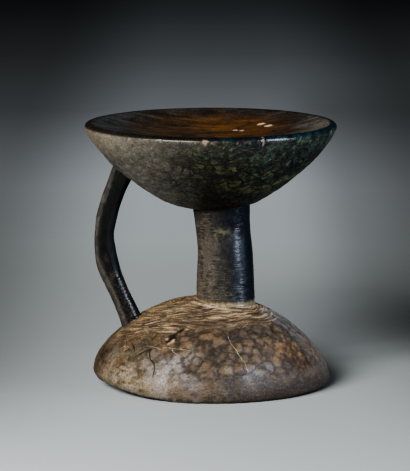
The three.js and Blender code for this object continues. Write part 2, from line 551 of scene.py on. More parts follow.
@dataclass(frozen=True)
class Column:
    """The post between bowl and dome: waisted, off the seat's axis, its top leaning to the handle."""

    axis: tuple[float, float]
    profile: tuple = ((36.7, 224.0), (35.1, 203.0), (35.2, 170.0), (36.2, 143.0), (37.4, 108.0))
    shift: tuple[float, float] = (12.8, 18.2)
    lean_between: tuple[float, float] = (224.0, 165.0)
    spacing: float = 1.7
    foot_level: float = 108.0
    lay_radius: float = 36.0
    dusty_side: float = 178.0
    glossy_side: float = -22.0

    def middle(self, z: Array) -> Array:
        """Where the leaning column's middle lies across the stool.

        Args:
            z: heights.

        Returns:
            Place of the middle at each height.
        """
        high, low = self.lean_between
        share = np.clip((high - z) / (high - low), 0.0, 1.0)
        return self.axis[0] + self.shift[0] + (self.shift[1] - self.shift[0]) * share

    def ring(self, height: float | Array, sides: int) -> Array:
        """Ring of the column.

        Args:
            height: one height, or one for each point.
            sides: points in the ring.

        Returns:
            The ring's points.
        """
        curve = smooth_curve(self.profile, CURVE_STEPS)[::-1]
        z = height + np.zeros(sides)
        return round_ring(self.middle(z), self.axis[1], np.interp(z, curve[:, 1], curve[:, 0]), z, sides)

    def rings(self, top: Array, foot: Array) -> list[Array]:
        """Rings between the two joints, whose heights differ round the column.

        Args:
            top: height of the upper joint at each point of a ring.
            foot: height of the lower joint at each point of a ring.

        Returns:
            Rings from top to bottom, without the joints' own.
        """
        sides = ring_sides(self.profile[1][0], self.spacing)
        turn = np.linspace(0.0, 1.0, sides, endpoint=False)
        high, low = (
            np.interp(turn, np.linspace(0.0, 1.0, len(joint), endpoint=False), joint, period=1.0)
            for joint in (top, foot)
        )
        rows = round(float(np.mean(high - low)) / self.spacing)
        return [self.ring(high + (low - high) * k / rows, sides) for k in range(1, rows)]

    def dress(self, place: Array) -> Dressing:
        """Vertical draw marks, fine tool ticks across, a glossy dark right side, a dusty left, and painted
        shade at the top under the bowl.

        Args:
            place: points on the plain column.

        Returns:
            Their dressing.
        """
        z = place[:, 2]
        facing, _, unit = polar(place, self.middle(z), self.axis[1])
        lay = np.concatenate([self.lay_radius * unit, z[:, None]], axis=1)
        facets = layered(lay / (11.0, 11.0, 60.0), 11, 2)
        hollows = layered(lay / (16.0, 16.0, 18.0), 15, 2)
        blotch = layered(lay / (9.0, 9.0, 20.0), 21)
        fine = layered(lay / (4.0, 4.0, 5.0), 25, 2)

        # Sides and zones
        low = fade(z, self.foot_level, 170.0)
        dusty = fade(turned_off(facing, self.dusty_side) + 14.0 * blotch, 50.0, 76.0)
        dusty = dusty * (1.0 - 0.5 * ease(z + 10.0 * blotch, 176.0, 208.0))
        glossy = fade(turned_off(facing, self.glossy_side) + 6.0 * blotch, 44.0, 60.0)
        # dark_top is painted shade: the column's top darkened just under the bowl
        dark_top = toward(facing, -78.0, 48.0) * ease(z, 186.0, 214.0)
        dust_patch = toward(facing, -94.0, 36.0) * near(z, 196.0, 15.0)
        low_dust = fade(z, self.foot_level, 130.0) * (1.0 - 0.8 * glossy)
        foot_line = fade(z + 1.5 * fine, 106.0, 110.5) * (1.0 - 0.3 * glossy)

        colour = painted(
            evenly("#0f0f10", place),
            ("#302c27", 0.35 * ease(blotch + 0.7 * fine, 0.3, 1.0)),
            ("#40362a", 0.25 * ease(-blotch + 0.8 * fine, 0.5, 1.1)),
            ("#5a544d", 0.85 * dusty),
            ("#272421", 0.8 * dusty * ease(blotch - 0.6 * fine, 0.1, 0.6)),
            ("#191e23", 0.93 * glossy),
            # Painted shade at the top, under the bowl
            ("#0a0e18", 0.8 * dark_top),
            ("#6f6b4c", 0.6 * dust_patch * ease(fine - 0.4 * blotch, -0.1, 0.5)),
            ("#6f634f", 0.2 * low_dust * ease(fine, -0.6, 0.6)),
            ("#ac9873", 0.7 * foot_line),
        )
        polish = 0.5 - 0.3 * dusty + 0.1 * blotch + 0.37 * glossy + 0.2 * dark_top
        polish = polish - 0.3 * dust_patch - 0.3 * low_dust
        ticks = ease(blotch + 0.5 * low, -0.5, 0.5) * (1.0 - 0.7 * dark_top)
        ticks = ticks * ease(turned_off(facing, 8.0), 40.0, 72.0)
        ticks = ticks * (1.0 - 0.75 * toward(facing, -84.0, 36.0))
        worn = (0.12 + 0.15 * low) * (1.0 - glossy)
        return Dressing(0.35 * facets + 0.3 * hollows, colour, polish, lay, ticks=ticks, worn=worn)


@dataclass(frozen=True)
class Seat:
    """The dished seat: dish, rounded lip and bowl-shaped underside, turned about one axis."""

    axis: tuple[float, float] = (0.75, 0.29)
    top: float = 336.0
    dish_depth: float = 22.0
    dish_radius: float = 153.5
    dish_power: float = 2.3
    lip: tuple = ((153.5, 336.0), (157.6, 335.0), (160.2, 332.4), (160.6, 329.6), (158.4, 324.6))
    lip_radius: float = 160.2
    bowl: Outline = Outline((
        (158.4, 324.6), (151.6, 314.0), (142.0, 302.0), (129.6, 288.0), (117.2, 276.5),
        (97.6, 260.5), (75.0, 245.0), (54.0, 234.0), (30.0, 227.8), (0.0, 226.0),
    ))
    swell: tuple[float, float, float] = (0.005, 3.0, -1.2)
    joint_radius: float = 56.0
    joint_level: float = 226.0
    joint_rows: int = 10
    dish_spacing: float = 3.0
    lip_spacing: float = 1.3
    lip_sides_spacing: float = 2.0
    bowl_spacing: float = 2.1
    lay_radius: float = 120.0
    dark_side: float = -28.0
    handle_joint: tuple[float, float, float] = (-119.0, 0.0, 276.0)
    # Direction, half width, half height and strength of each nick in the lip
    nicks: tuple = (
        (-168.0, 3.0, 5.0, 0.6), (-129.5, 2.6, 1.6, 0.5), (-113.4, 1.7, 3.0, 0.7), (-93.0, 2.9, 4.6, 0.8),
        (-89.6, 1.5, 3.0, 0.6), (-78.3, 1.1, 5.5, 1.0), (-73.0, 1.0, 3.0, 0.5), (-66.3, 1.2, 6.5, 1.0),
        (-19.0, 2.0, 3.0, 0.6), (48.0, 2.5, 3.5, 0.6), (131.0, 3.0, 3.0, 0.6),
    )
    nick_level: float = 330.0
    # Place and size of each pale speck in the dish
    specks: tuple = ((33.0, 64.0, 3.4), (66.0, 83.0, 4.2), (74.0, 70.0, 4.6), (40.0, 60.0, 2.2))

    def dish_height(self, radius: float) -> float:
        """Height of the dish: top - depth * (1 - (radius/dish radius)^power)."""
        return self.top - self.dish_depth * (1.0 - (radius / self.dish_radius) ** self.dish_power)

    def ring(self, radius: float, height: float, sides: int) -> Array:
        """Ring about the seat's axis, with the swell of a hand-cut circle."""
        return round_ring(*self.axis, radius * swell_factor(directions(sides), self.swell), height, sides)

    def dish_rings(self) -> list[Array]:
        """Rings of the dish from its middle to the lip."""
        radii = np.linspace(0.0, self.dish_radius, round(self.dish_radius / self.dish_spacing))[1:-1]
        return [self.ring(r, self.dish_height(r), ring_sides(r, self.dish_spacing)) for r in radii]

    def bowl_rings(self, column: Column) -> list[Array]:
        """Rings from the top of the lip down the bowl to its joint with the column.

        The last rings slide from a circle about the seat's axis to the column's own circle while
        their height stays on the bowl's outline, so the two surfaces meet without a gap.

        Args:
            column: the post that the bowl stands on.

        Returns:
            Rings from top to bottom.
        """
        lip = smooth_curve(self.lip, round(run_of(np.array(self.lip))[-1] / self.lip_spacing))
        sides = ring_sides(self.lip_radius, self.lip_sides_spacing)
        rings = [self.ring(r, z, sides) for r, z in lip]
        stop = float(self.bowl.at(self.joint_radius)[1])
        steps = np.linspace(0.0, stop, round(stop / self.bowl_spacing))[1:]
        for radius, z in walked(self.bowl.curve(), steps):
            rings.append(self.ring(radius, z, ring_sides(radius, self.bowl_spacing)))
        wide = rings[-1][:, :2]
        tight = column.ring(self.joint_level, len(wide))[:, :2]
        for share in np.linspace(0.0, 1.0, self.joint_rows + 1)[1:]:
            flat = wide + (tight - wide) * share
            z, _ = self.bowl.at(np.linalg.norm(flat - self.axis, axis=1))
            rings.append(np.concatenate([flat, z[:, None]], axis=1))
        return rings

    def dress_dish(self, place: Array) -> Dressing:
        """Rubbed dish: amber in the middle and to the right, with a painted pale grey reflection further
        right; smoke-black to the left and edges, the grey on the left part smoke and part painted
        reflection.

        Args:
            place: points on the plain dish.

        Returns:
            Their dressing.
        """
        _, radius, _ = polar(place, *self.axis)
        x, y = place[:, 0], place[:, 1]
        drift = place + 14.0 * layered(place / 34.0, 39, 2)[:, None]
        swayed = place + 5.0 * layered(place / 40.0, 45, 2)[:, None]
        cloud = layered(drift / (26.0, 60.0, 60.0), 293)
        patch = layered(drift / (11.0, 30.0, 40.0), 41)
        spots = layered(place / (3.0, 8.0, 8.0), 49, 2)
        grain = layered(swayed / (44.0, 8.0, 30.0), 57)
        hair = layered(swayed / (18.0, 3.4, 12.0), 163, 2)

        # Zones, from the photo's left to its right
        # Grey on the left: part smoke-darkening, part painted reflection
        smoke_and_reflection = fade(x + 22.0 * cloud, -122.0, -70.0)
        amber = ease(x + 14.0 * cloud, -130.0, 40.0) * fade(x + 18.0 * cloud, 66.0, 120.0)
        amber = amber * fade(radius + 10.0 * cloud, 118.0, 146.0)
        # right is a painted pale grey reflection on the far right of the dish
        right = ease(x - 0.3 * y + 16.0 * cloud + 8.0 * patch, 84.0, 132.0)
        speck = np.zeros(len(place))
        for speck_x, speck_y, size in self.specks:
            reach = np.hypot((x - speck_x) / 1.5, y - speck_y) + 1.2 * spots
            speck = np.maximum(speck, fade(reach, 0.55 * size, size))

        colour = painted(
            evenly("#352d27", place),
            ("#533b27", 0.9 * amber),
            ("#734e1e", 0.7 * amber * ease(0.7 * cloud + 0.5 * patch, -0.4, 1.1)),
            ("#7c4720", 0.35 * near(x, 62.0, 44.0) * near(y, 44.0, 60.0)),
            ("#2e241c", 0.45 * amber * ease(-patch - 0.4 * cloud, 0.2, 1.1)),
            ("#4a4f3c", 0.3 * amber * ease(spots - 0.6 * cloud, 0.3, 0.9)),
            # Painted reflections: grey on the left, part smoke, and pale grey on the right
            ("#424543", 0.85 * smoke_and_reflection),
            ("#7e796f", 0.8 * right),
            ("#3a3a36", 0.55 * (right + smoke_and_reflection) * ease(patch + 0.5 * spots, 0.1, 0.7)),
            ("#161b1d", 0.7 * ease(radius, 149.0, self.dish_radius)),
            ("#17120e", 0.5 * ease(grain + 0.5 * hair, 0.15, 1.0)),
            ("#8f6a2e", 0.35 * amber * ease(-grain - 0.4 * hair, 0.2, 1.0)),
            ("#66625a", 0.35 * (1.0 - amber) * ease(-grain - 0.6 * hair, 0.3, 1.1)),
            ("#e8c9a0", speck),
        )
        height = 0.35 * layered(place / 40.0, 53, 2) + 0.08 * patch + 0.5 * speck
        polish = 0.8 - 0.12 * np.abs(cloud) - 0.6 * speck
        return Dressing(height, colour, polish, place, worn=0.12)

    def nicked(self, facing: Array, z: Array, fine: Array) -> Array:
        """Strength of the nicks in the lip.

        Args:
            facing: direction of each point in degrees.
            z: height of each point.
            fine: fine noise that frays the nicks' borders.

        Returns:
            0 away from the nicks, up to 1 in the strongest.
        """
        nick = np.zeros(len(z))
        for direction, wide, tall, strength in self.nicks:
            across = turned_off(facing, direction) * math.radians(self.lip_radius)
            reach = np.hypot(across / wide, (z - self.nick_level) / tall) + 0.8 * fine
            nick = np.maximum(nick, strength * fade(reach, 0.3, 0.9))
        return nick * ease(z, 316.0, 321.0)

    def dress_bowl(self, place: Array) -> Dressing:
        """Lip and bowl: rubbed lip with nicks; dusty to the left, dark and crackled to the right.

        The paleness and darkness are partly painted light and shade; the blue-green on the right is
        partly painted reflection, and the dark round the handle's joint is painted shade.

        Args:
            place: points on the plain lip and bowl.

        Returns:
            Their dressing.
        """
        facing, radius, unit = polar(place, *self.axis)
        z = place[:, 2]
        lay = np.concatenate([self.lay_radius * unit, self.bowl.at(radius)[1][:, None]], axis=1)
        broad, middle = layered(place / 42.0, 61), layered(place / 15.0, 65)
        fine = layered(place / 5.0, 69, 2)
        streak = layered((lay + 3.0 * middle[:, None]) / (3.2, 3.2, 6.0), 83, 2)
        first, second, _ = cells(place / 17.0 + 0.35 * middle[:, None], 77)

        # Zones by height and by side
        lip, edge, near_rim = ease(z, 320.0, 327.0), ease(z, 330.4, 333.4), ease(z, 292.0, 324.0)
        # Paler to the left (sweep) and dark to the right (dark, shaded): part the wood's own colour, part
        # painted light and shade, paler towards the key lamp and darker away from it
        dark = fade(turned_off(facing + 9.0 * broad, self.dark_side), 56.0, 80.0)
        scoop = fade(second - first, 0.0, 0.2) * (1.0 - lip)
        sweep = ease(turned_off(facing, self.dark_side), 56.0, 150.0)
        warm = toward(facing, -165.0, 40.0) * ease(z, 285.0, 310.0)
        olive = dark * ease(middle + 0.6 * fine, 0.0, 0.7)
        shaded = dark * fade(z, 240.0, 268.0) + dark * ease(-middle + 0.4 * broad, 0.1, 0.7)
        green = dark * near_rim * (1.0 - 0.5 * ease(z, 314.0, 326.0))
        # Blue-green up to the lip on the right: part the wood's own colour, part painted lamp reflection
        dipped = z + 6.0 * fine + 4.0 * broad + 16.0 * toward(facing, -44.0, 40.0)
        teal_and_reflection = dark * ease(dipped, 300.0, 322.0) * (1.0 - toward(facing, -114.0, 28.0))
        inky = dark * ease(z, 322.0, 331.0) * fade(middle, 0.2, 0.9)
        fleck = dark * ease(z, 262.0, 292.0) * ease(streak + 0.9 * fine, 0.5, 1.15) * (1.0 - edge)
        gilt = ease(z, 308.0, 322.0) * toward(facing, -84.0, 28.0) * (1.0 - edge)
        # A raised ring round the handle's joint, darkened as painted shade where handle and bowl meet
        collar_and_shade = np.linalg.norm(place - self.handle_joint, axis=1) + 2.5 * fine
        collar_and_shade = fade(collar_and_shade, 17.0, 24.0)
        band = dark * fade(z, 234.0, 250.0) * ease(np.sin(z * 1.9 + 2.0 * middle), -0.2, 0.6)
        nick = self.nicked(facing, z, fine)

        colour = painted(
            evenly("#353530", place),
            # Paler towards the key lamp: part dust, part painted light
            ("#878680", sweep),
            ("#45423b", 0.5 * ease(0.7 * broad + 0.6 * middle, 0.0, 0.6)),
            ("#9c9588", 0.4 * ease(-broad + 0.6 * fine, 0.2, 0.9) * sweep),
            ("#958773", 0.5 * warm),
            ("#1d1b18", 0.4 * scoop * (1.0 - near_rim) * (1.0 - dark)),
            # Dark right side and its low part: part the wood's own colour, part painted shade
            ("#2b301c", 0.95 * dark),
            ("#6f6c42", 0.75 * olive * (1.0 - 0.6 * near_rim)),
            ("#0b0f10", 0.9 * shaded * (1.0 - 0.7 * near_rim)),
            ("#2c4c38", 0.8 * green * ease(middle + 0.5 * streak, -0.3, 0.5)),
            # Blue-green: part the wood's own colour, part painted reflection of the bluish lamp
            ("#1c3c43", 0.62 * teal_and_reflection * ease(streak + 0.9 * fine, -0.2, 1.0)),
            ("#0a1826", 0.8 * teal_and_reflection * ease(-streak - 0.5 * fine, 0.0, 0.6)),
            ("#0c1c22", 0.5 * inky),
            ("#6f8a6a", 0.5 * teal_and_reflection * ease(streak + fine - middle, 1.0, 1.7) * (1.0 - edge)),
            ("#5d7a5c", 0.5 * fleck * (1.0 - 0.8 * near_rim)),
            ("#978858", 0.7 * gilt * ease(streak + 0.8 * fine, 0.75, 1.15)),
            # Painted shade round the handle's joint
            ("#1f1b18", 0.7 * collar_and_shade),
            ("#5a4a30", 0.5 * band),
            ("#100d0b", 0.9 * edge * (1.0 - 0.4 * dark)),
            # Blue-green band on the lip: painted reflection of the bluish lamp
            ("#12323c", 0.7 * edge * dark * ease(streak, -0.6, 0.4)),
            ("#ac907b", 0.7 * nick),
        )
        height = 0.4 * broad + 0.3 * middle + (0.7 * (1.0 - first**2) - 0.4 * scoop) * (1.0 - lip)
        height = height * (1.0 - 0.7 * lip) + 1.1 * collar_and_shade - 0.9 * nick
        polish = 0.14 + 0.84 * np.maximum(lip, 0.42 * dark + 0.25 * teal_and_reflection) + 0.08 * middle - 0.5 * nick
        crackle = 1.0 - 0.78 * ease(turned_off(facing + 6.0 * middle, self.dark_side), 55.0, 110.0)
        crackle = crackle * (1.0 - lip) * (1.0 - 0.5 * near_rim)
        ticks = 0.3 * near_rim * (1.0 - edge)
        return Dressing(height, colour, polish, lay, ticks=ticks, crackle=crackle, worn=0.4 - 0.3 * edge)


@dataclass(frozen=True)
class DomePoints:
    """Points of the dome as its marks see them.

    Attributes:
        place: the points.
        facing: direction about the dome's axis, in degrees.
        radius: distance from the axis.
        unit: direction as a unit vector.
        down: distance run down the dome's outline from its top.
        middle: noise of middling size.
        fine: fine noise.
    """

    place: Array
    facing: Array
    radius: Array
    unit: Array
    down: Array
    middle: Array
    fine: Array

    def off(self, direction: float) -> Array:
        """Degrees between the points and a direction."""
        return turned_off(self.facing, direction)

    def toward(self, direction: float, reach: float) -> Array:
        """1 in a direction, falling smoothly to 0 so many degrees to either side of it."""
        return toward(self.facing, direction, reach)


@dataclass(frozen=True)
class Foot:
    """The domed foot with its rounded edge, lifted a little where it is worn."""

    axis: tuple[float, float]
    dome: Outline = Outline((
        (0.0, 110.0), (22.0, 108.8), (45.0, 104.6), (64.0, 98.6), (84.0, 89.4), (105.0, 76.6),
        (124.5, 59.0), (139.5, 41.5), (148.0, 26.0), (151.0, 13.5),
    ))
    edge: tuple = ((151.0, 13.5), (150.6, 7.5), (148.4, 2.4), (144.6, 0.0))
    dome_shift: float = -3.7
    floor_shift: float = 0.9
    upright_above: float = 40.0
    swell: tuple[float, float, float] = (0.006, 3.0, 2.2)
    worn_direction: float = 200.0
    worn_spread: float = 62.0
    worn_lift: float = 10.0
    worn_from: float = 112.0
    column_shift: float = 18.2
    joint_radius: float = 72.0
    joint_level: float = 104.0
    joint_height: float = 98.0
    joint_rows: int = 32
    spacing: float = 1.65
    stroke_rows: float = 1.15
    stroke_sides: float = 2.6
    stroke_reach: float = 100.0
    under_spacing: float = 9.0
    lay_radius: float = 100.0
    unrolled_radius: float = 125.0
    rough_side: float = -66.0
    # Lines drawn on the dome: direction and distance from its axis at each corner
    cracks: tuple = (
        ((-135.0, 134.0), (-130.0, 128.0), (-126.0, 124.0)),
        ((-126.0, 124.0), (-124.0, 131.0), (-120.0, 137.0), (-119.0, 145.0)),
        ((-143.0, 121.0), (-138.0, 127.0)),
    )
    gashes: tuple = (
        ((-110.5, 92.5), (-112.5, 97.0), (-111.0, 98.5), (-110.0, 95.0)),
        ((-112.0, 97.0), (-115.0, 101.5), (-117.5, 104.5), (-116.0, 109.0), (-118.0, 113.0)),
        ((-116.0, 103.0), (-113.5, 106.0)),
    )
    scratches: tuple = (
        ((-76.0, 104.0), (-75.2, 113.0), (-73.0, 121.0), (-71.2, 130.0)),
        ((-128.0, 120.0), (-123.0, 121.0), (-119.0, 123.0)),
        ((-118.0, 120.0), (-109.0, 119.5), (-100.0, 121.0)),
        ((-112.0, 122.0), (-109.0, 125.0), (-106.0, 128.0)), ((-70.0, 134.0), (-69.4, 140.0)),
        ((-150.0, 121.0), (-146.0, 128.0)), ((-149.0, 127.0), (-144.0, 124.0)),
        ((-146.0, 133.0), (-144.0, 126.0)), ((-140.0, 99.0), (-131.0, 95.0)),
        ((-144.0, 104.0), (-135.0, 100.0)), ((-134.0, 92.0), (-126.0, 89.0)), ((-62.0, 92.0), (-55.0, 86.0)),
    )
    # Direction, distance and size of each chip
    chips: tuple = ((-118.5, 109.5, 2.6), (-113.5, 111.0, 2.8), (-116.0, 115.0, 2.4), (-106.5, 94.0, 2.2))
    # Direction, distance, half width, half depth, colour and strength of each stain; the pale grey-lilac
    # rows from -124 to -98 degrees and the grey row at -69 are painted highlights of the lamps on the
    # glossy lower front, and every other row is a stain
    stains_and_highlights: tuple = (
        (-160.0, 120.0, 30.0, 14.0, "#6b6058", 0.4),
        (-150.0, 118.0, 26.0, 10.0, "#6b5546", 0.5),
        (-140.0, 110.0, 12.0, 6.0, "#6d5a4a", 0.5),
        (-172.0, 124.0, 22.0, 14.0, "#7d6d59", 0.6),
        (-112.0, 138.0, 26.0, 14.0, "#8d8785", 0.8),
        (-124.0, 128.0, 16.0, 10.0, "#7d7875", 0.6),
        (-98.0, 128.0, 10.0, 12.0, "#857e7a", 0.5),
        (-69.0, 143.0, 18.0, 7.0, "#7d7977", 0.7),
        (-56.0, 136.0, 12.0, 7.0, "#626160", 0.6),
        (-42.0, 121.0, 12.0, 6.0, "#b07f52", 0.75),
        (-36.0, 131.0, 30.0, 15.0, "#4c331b", 0.85),
        (-33.0, 143.0, 26.0, 8.0, "#4a3218", 0.75),
        (-52.0, 131.0, 12.0, 8.0, "#7d654a", 0.5),
        (-24.0, 118.0, 9.0, 7.0, "#39443a", 0.7),
        (-152.0, 145.0, 14.0, 6.0, "#97806a", 0.5),
        (-138.0, 127.0, 20.0, 11.0, "#65665a", 0.45),
        (-146.0, 149.0, 10.0, 4.0, "#6e7865", 0.5),
        (-80.0, 139.0, 9.0, 8.0, "#7c6c5a", 0.6),
        (-109.0, 147.0, 5.0, 3.5, "#6b5335", 0.8),
        (-84.0, 147.0, 16.0, 4.0, "#554539", 0.7),
        (-62.0, 149.0, 12.0, 4.0, "#50504c", 0.6),
        (-153.0, 134.0, 18.0, 9.0, "#848071", 0.5),
        (-115.0, 149.0, 18.0, 6.5, "#a39a9a", 0.55),
        (-99.0, 147.0, 14.0, 5.0, "#7b7676", 0.55),
        (-78.0, 149.0, 15.0, 7.0, "#38322d", 0.85),
        (-44.0, 146.0, 18.0, 9.0, "#372c20", 0.8),
    )

    def worn(self, turn: Array, radius: float, z: float) -> Array:
        """Lift of the worn edge: full at its direction, at the rim and on the floor.

        Args:
            turn: direction of each point of a ring, in radians.
            radius: the ring's radius.
            z: the ring's height.

        Returns:
            Lift in millimetres.
        """
        around = fade(turned_off(np.degrees(turn), self.worn_direction), 0.0, self.worn_spread)
        outward = ease(radius, self.worn_from, self.edge[0][0])
        return self.worn_lift * around * outward * fade(z, 2.0, 26.0)

    def ring(self, radius: float, height: float, sides: int) -> Array:
        """Ring about the foot's axis, which moves across from the floor to upright_above.

        Args:
            radius: radius before the swell of a hand-cut circle.
            height: height before the lift of the worn edge.
            sides: points in the ring.

        Returns:
            The ring's points.
        """
        turn = directions(sides)
        z = height + self.worn(turn, radius, height)
        share = np.minimum(z, self.upright_above) / self.upright_above
        x = self.axis[0] + self.floor_shift + (self.dome_shift - self.floor_shift) * share
        return round_ring(x, self.axis[1], radius * swell_factor(turn, self.swell), z, sides)

    def joint_rings(self, column: Column) -> list[Array]:
        """Rings on the dome that slide from the column's circle to one about the dome's axis.

        Args:
            column: the post that stands on the dome.

        Returns:
            Rings from the column outward; their height stays on the dome's outline.
        """
        sides = ring_sides(self.joint_radius, self.stroke_sides)
        tight = column.ring(self.joint_level, sides)[:, :2]
        wide = self.ring(self.joint_radius, self.joint_height, sides)[:, :2]
        middle = np.array([self.axis[0] + self.dome_shift, self.axis[1]])
        rings = []
        for share in np.linspace(0.0, 1.0, self.joint_rows + 1)[:-1]:
            flat = tight + (wide - tight) * share
            turn = np.arctan2(flat[:, 1] - middle[1], flat[:, 0] - middle[0])
            reach = np.linalg.norm(flat - middle, axis=1) / swell_factor(turn, self.swell)
            rings.append(np.concatenate([flat, self.dome.at(reach)[0][:, None]], axis=1))
        return rings

    def dome_rings(self, column: Column) -> list[Array]:
        """Rings of the dome and its edge, close together where the grain strokes are.

        Args:
            column: the post that stands on the dome.

        Returns:
            Rings from the joint with the column to the floor.
        """
        outline = np.vstack([self.dome.curve(), smooth_curve(self.edge, CURVE_STEPS)[1:]])
        start, end = self.dome.at(np.array([self.joint_radius, self.stroke_reach]))[1]
        stop = run_of(outline)[-1]
        fine = np.linspace(start, end, round((end - start) / self.stroke_rows))[:-1]
        plain = np.linspace(end, stop, round((stop - end) / self.spacing))
        rings = self.joint_rings(column)
        for steps, spacing in ((fine, self.stroke_sides), (plain, self.spacing)):
            rings += [self.ring(r, z, ring_sides(r, spacing)) for r, z in walked(outline, steps)]
        return rings

    def under_rings(self) -> list[Array]:
        """Rings of the flat underside, further apart towards its middle.

        Returns:
            Rings from the edge inward.
        """
        rim = self.edge[-1][0]
        radii = np.linspace(rim, 0.0, round(rim / self.under_spacing))[1:-1]
        sides = [ring_sides(r, min(self.under_spacing, 2.0 + 0.1 * (rim - r))) for r in radii]
        return [self.ring(r, 0.0, n) for r, n in zip(radii, sides)]

    def dress_under(self, place: Array) -> Dressing:
        """Flat underside: plain dull wood, paler and darker in soft patches.

        Args:
            place: points on the underside.

        Returns:
            Their dressing.
        """
        tone = layered(place / 20.0, 91)
        colour = painted(evenly("#4d4338", place), ("#2e2721", ease(tone, -0.3, 0.6)))
        return Dressing(0.0 * tone, colour, 0.1 + 0.0 * tone, place)

    def grain(self, at: DomePoints) -> tuple[Array, Array, Array]:
        """Raised grain strokes that run round the dome, sway, and rise towards the handle.

        Args:
            at: points on the dome.

        Returns:
            Place along the grain, strength of the strokes, and of the groove just below each, which is
            sunk and darkened as painted shade.
        """
        lay = np.concatenate([self.lay_radius * at.unit, at.down[:, None]], axis=1)
        wander = 4.5 * layered(lay / (45.0, 45.0, 30.0), 113, 2)
        wander = wander + 0.3 * at.toward(-56.0, 28.0) * (at.facing + 56.0)
        lean = 38.0 * at.toward(160.0, 90.0)
        lay[:, 2] = at.down + 0.8 * wander - lean
        flow = np.stack([at.facing / 360.0, at.down + wander - lean], -1)
        below = flow + (0.0, 2.0)
        stroke = np.maximum(dashes(flow, 13, 6.5, 1.5, 117), dashes(flow, 19, 5.6, 1.3, 217))
        # A groove below each stroke, sunk in the relief and darkened in the colour as painted shade
        groove_and_shade = np.maximum(dashes(below, 13, 6.5, 1.7, 117), dashes(below, 19, 5.6, 1.5, 217))
        return lay, stroke, groove_and_shade * (1.0 - stroke)

    def facets(self, at: DomePoints, rough: Array) -> tuple[Array, Array, Array]:
        """Facets left by the adze: small pebbles on the rough side, wide shallow scoops elsewhere.

        Args:
            at: points on the dome.
            rough: 1 on the rough side, 0 elsewhere.

        Returns:
            Height in the facet from 0 to 1, strength of the valley round it, and a random number
            that is the same all over one pebble.
        """
        first, second, name = cells(at.place / 13.0 + 0.22 * at.middle[:, None], 121)
        pebble = np.clip(1.0 - (first / 0.85) ** 2, 0.0, 1.0)
        groove = fade(second - first, 0.0, 0.36)
        first, second, _ = cells(at.place / 24.0 + 0.2 * at.middle[:, None], 122)
        scoop = np.clip(1.0 - (first / 0.8) ** 2, 0.0, 1.0) ** 0.7
        seam = fade(second - first, 0.0, 0.12)
        valley = (seam + (groove - seam) * rough) * ease(at.fine + at.middle, -1.5, -0.3)
        return scoop + (pebble - scoop) * rough, valley, name

    def to_lines(self, at: DomePoints, lines: tuple, shake: float) -> tuple[Array, Array]:
        """Distance from the points to lines drawn on the unrolled dome.

        Args:
            at: points on the dome.
            lines: direction and distance from the axis at each line's corners.
            shake: how far noise shakes the lines, in millimetres.

        Returns:
            The signed distance in millimetres, and its size.
        """
        unrolled = [
            [(math.radians(a) * self.unrolled_radius, float(self.dome.at(r)[1])) for a, r in line]
            for line in lines
        ]
        flat = np.stack([np.radians(at.facing) * self.unrolled_radius, at.down], -1)
        return along_lines(flat + shake * np.stack([at.middle, at.fine], -1), unrolled)

    def chipped(self, at: DomePoints) -> Array:
        """Small pale chips beside the gash, with frayed borders.

        Args:
            at: points on the dome.

        Returns:
            1 in the chips, 0 away from them.
        """
        chip = np.zeros(len(at.place))
        for direction, distance, size in self.chips:
            reach = mark_reach(at.facing, at.radius, (direction, distance, 1.0, 1.0)) + 1.5 * at.fine
            chip = np.maximum(chip, fade(reach, 0.3 * size, size))
        return chip

    def stained_and_highlit(self, at: DomePoints) -> list[tuple[str, Array]]:
        """Soft stain marks with frayed borders, some of them painted highlights.

        Args:
            at: points on the dome.

        Returns:
            A coat of colour for each stain or painted highlight.
        """
        coats = []
        for *mark, code, strength in self.stains_and_highlights:
            reach = mark_reach(at.facing, at.radius, mark) + 0.35 * at.middle + 0.15 * at.fine
            coats.append((code, strength * fade(reach, 0.1, 1.3)))
        return coats

    def dress_dome(self, place: Array) -> Dressing:
        """Dome: raised grain strokes above, pebbled tool facets below, cracks and a worn edge, with painted
        shade in its grooves and valleys and painted highlights on the lower front.

        Args:
            place: points on the plain dome and its edge.

        Returns:
            Their dressing.
        """
        facing, radius, unit = polar(place, self.axis[0] + self.dome_shift, self.axis[1])
        z, down = place[:, 2], self.dome.at(radius)[1]
        broad, middle = layered(place / 38.0, 101), layered(place / 14.0, 105)
        fine = layered(place / 4.5, 109, 2)
        mottle = layered(place / (9.0, 9.0, 4.0), 143)
        at = DomePoints(place, facing, radius, unit, down, middle, fine)
        lay, stroke, groove_and_shade = self.grain(at)
        streak = layered(lay / (3.4, 3.4, 40.0), 139, 2)

        # Strokes reach further down on the handle's side, and pebbles begin where they end
        reach = 84.0 + 28.0 * fade(at.off(-158.0), 5.0, 70.0)
        fibrous = fade(radius + 7.0 * middle, reach - 4.0, reach + 9.0)
        smeared = toward(facing + 6.0 * middle, -36.0, 34.0)
        smeared = smeared * near(radius + 5.0 * middle, 127.0, 24.0)
        pebbled = ease(radius + 7.0 * middle, reach - 2.0, reach + 12.0) * fade(radius, 143.0, 151.0)
        pebbled = pebbled * (1.0 - 0.5 * smeared)
        rough = fade(at.off(self.rough_side), 40.0, 60.0)
        facet, valley, name = self.facets(at, rough)
        small = at.toward(-40.0, 34.0) * fade(radius, 112.0, 126.0) * ease(radius, 78.0, 90.0)
        knob = np.clip(1.0 - (cells(place / 7.5, 131)[0] / 0.85) ** 2, 0.0, 1.0)

        # Drawn marks
        crack, to_crack = self.to_lines(at, self.cracks, 1.6)
        scratch, to_scratch = self.to_lines(at, self.scratches, 0.9)
        gash = fade(self.to_lines(at, self.gashes, 1.2)[1] + 0.8 * fine, 1.5, 3.6)
        chip = self.chipped(at)

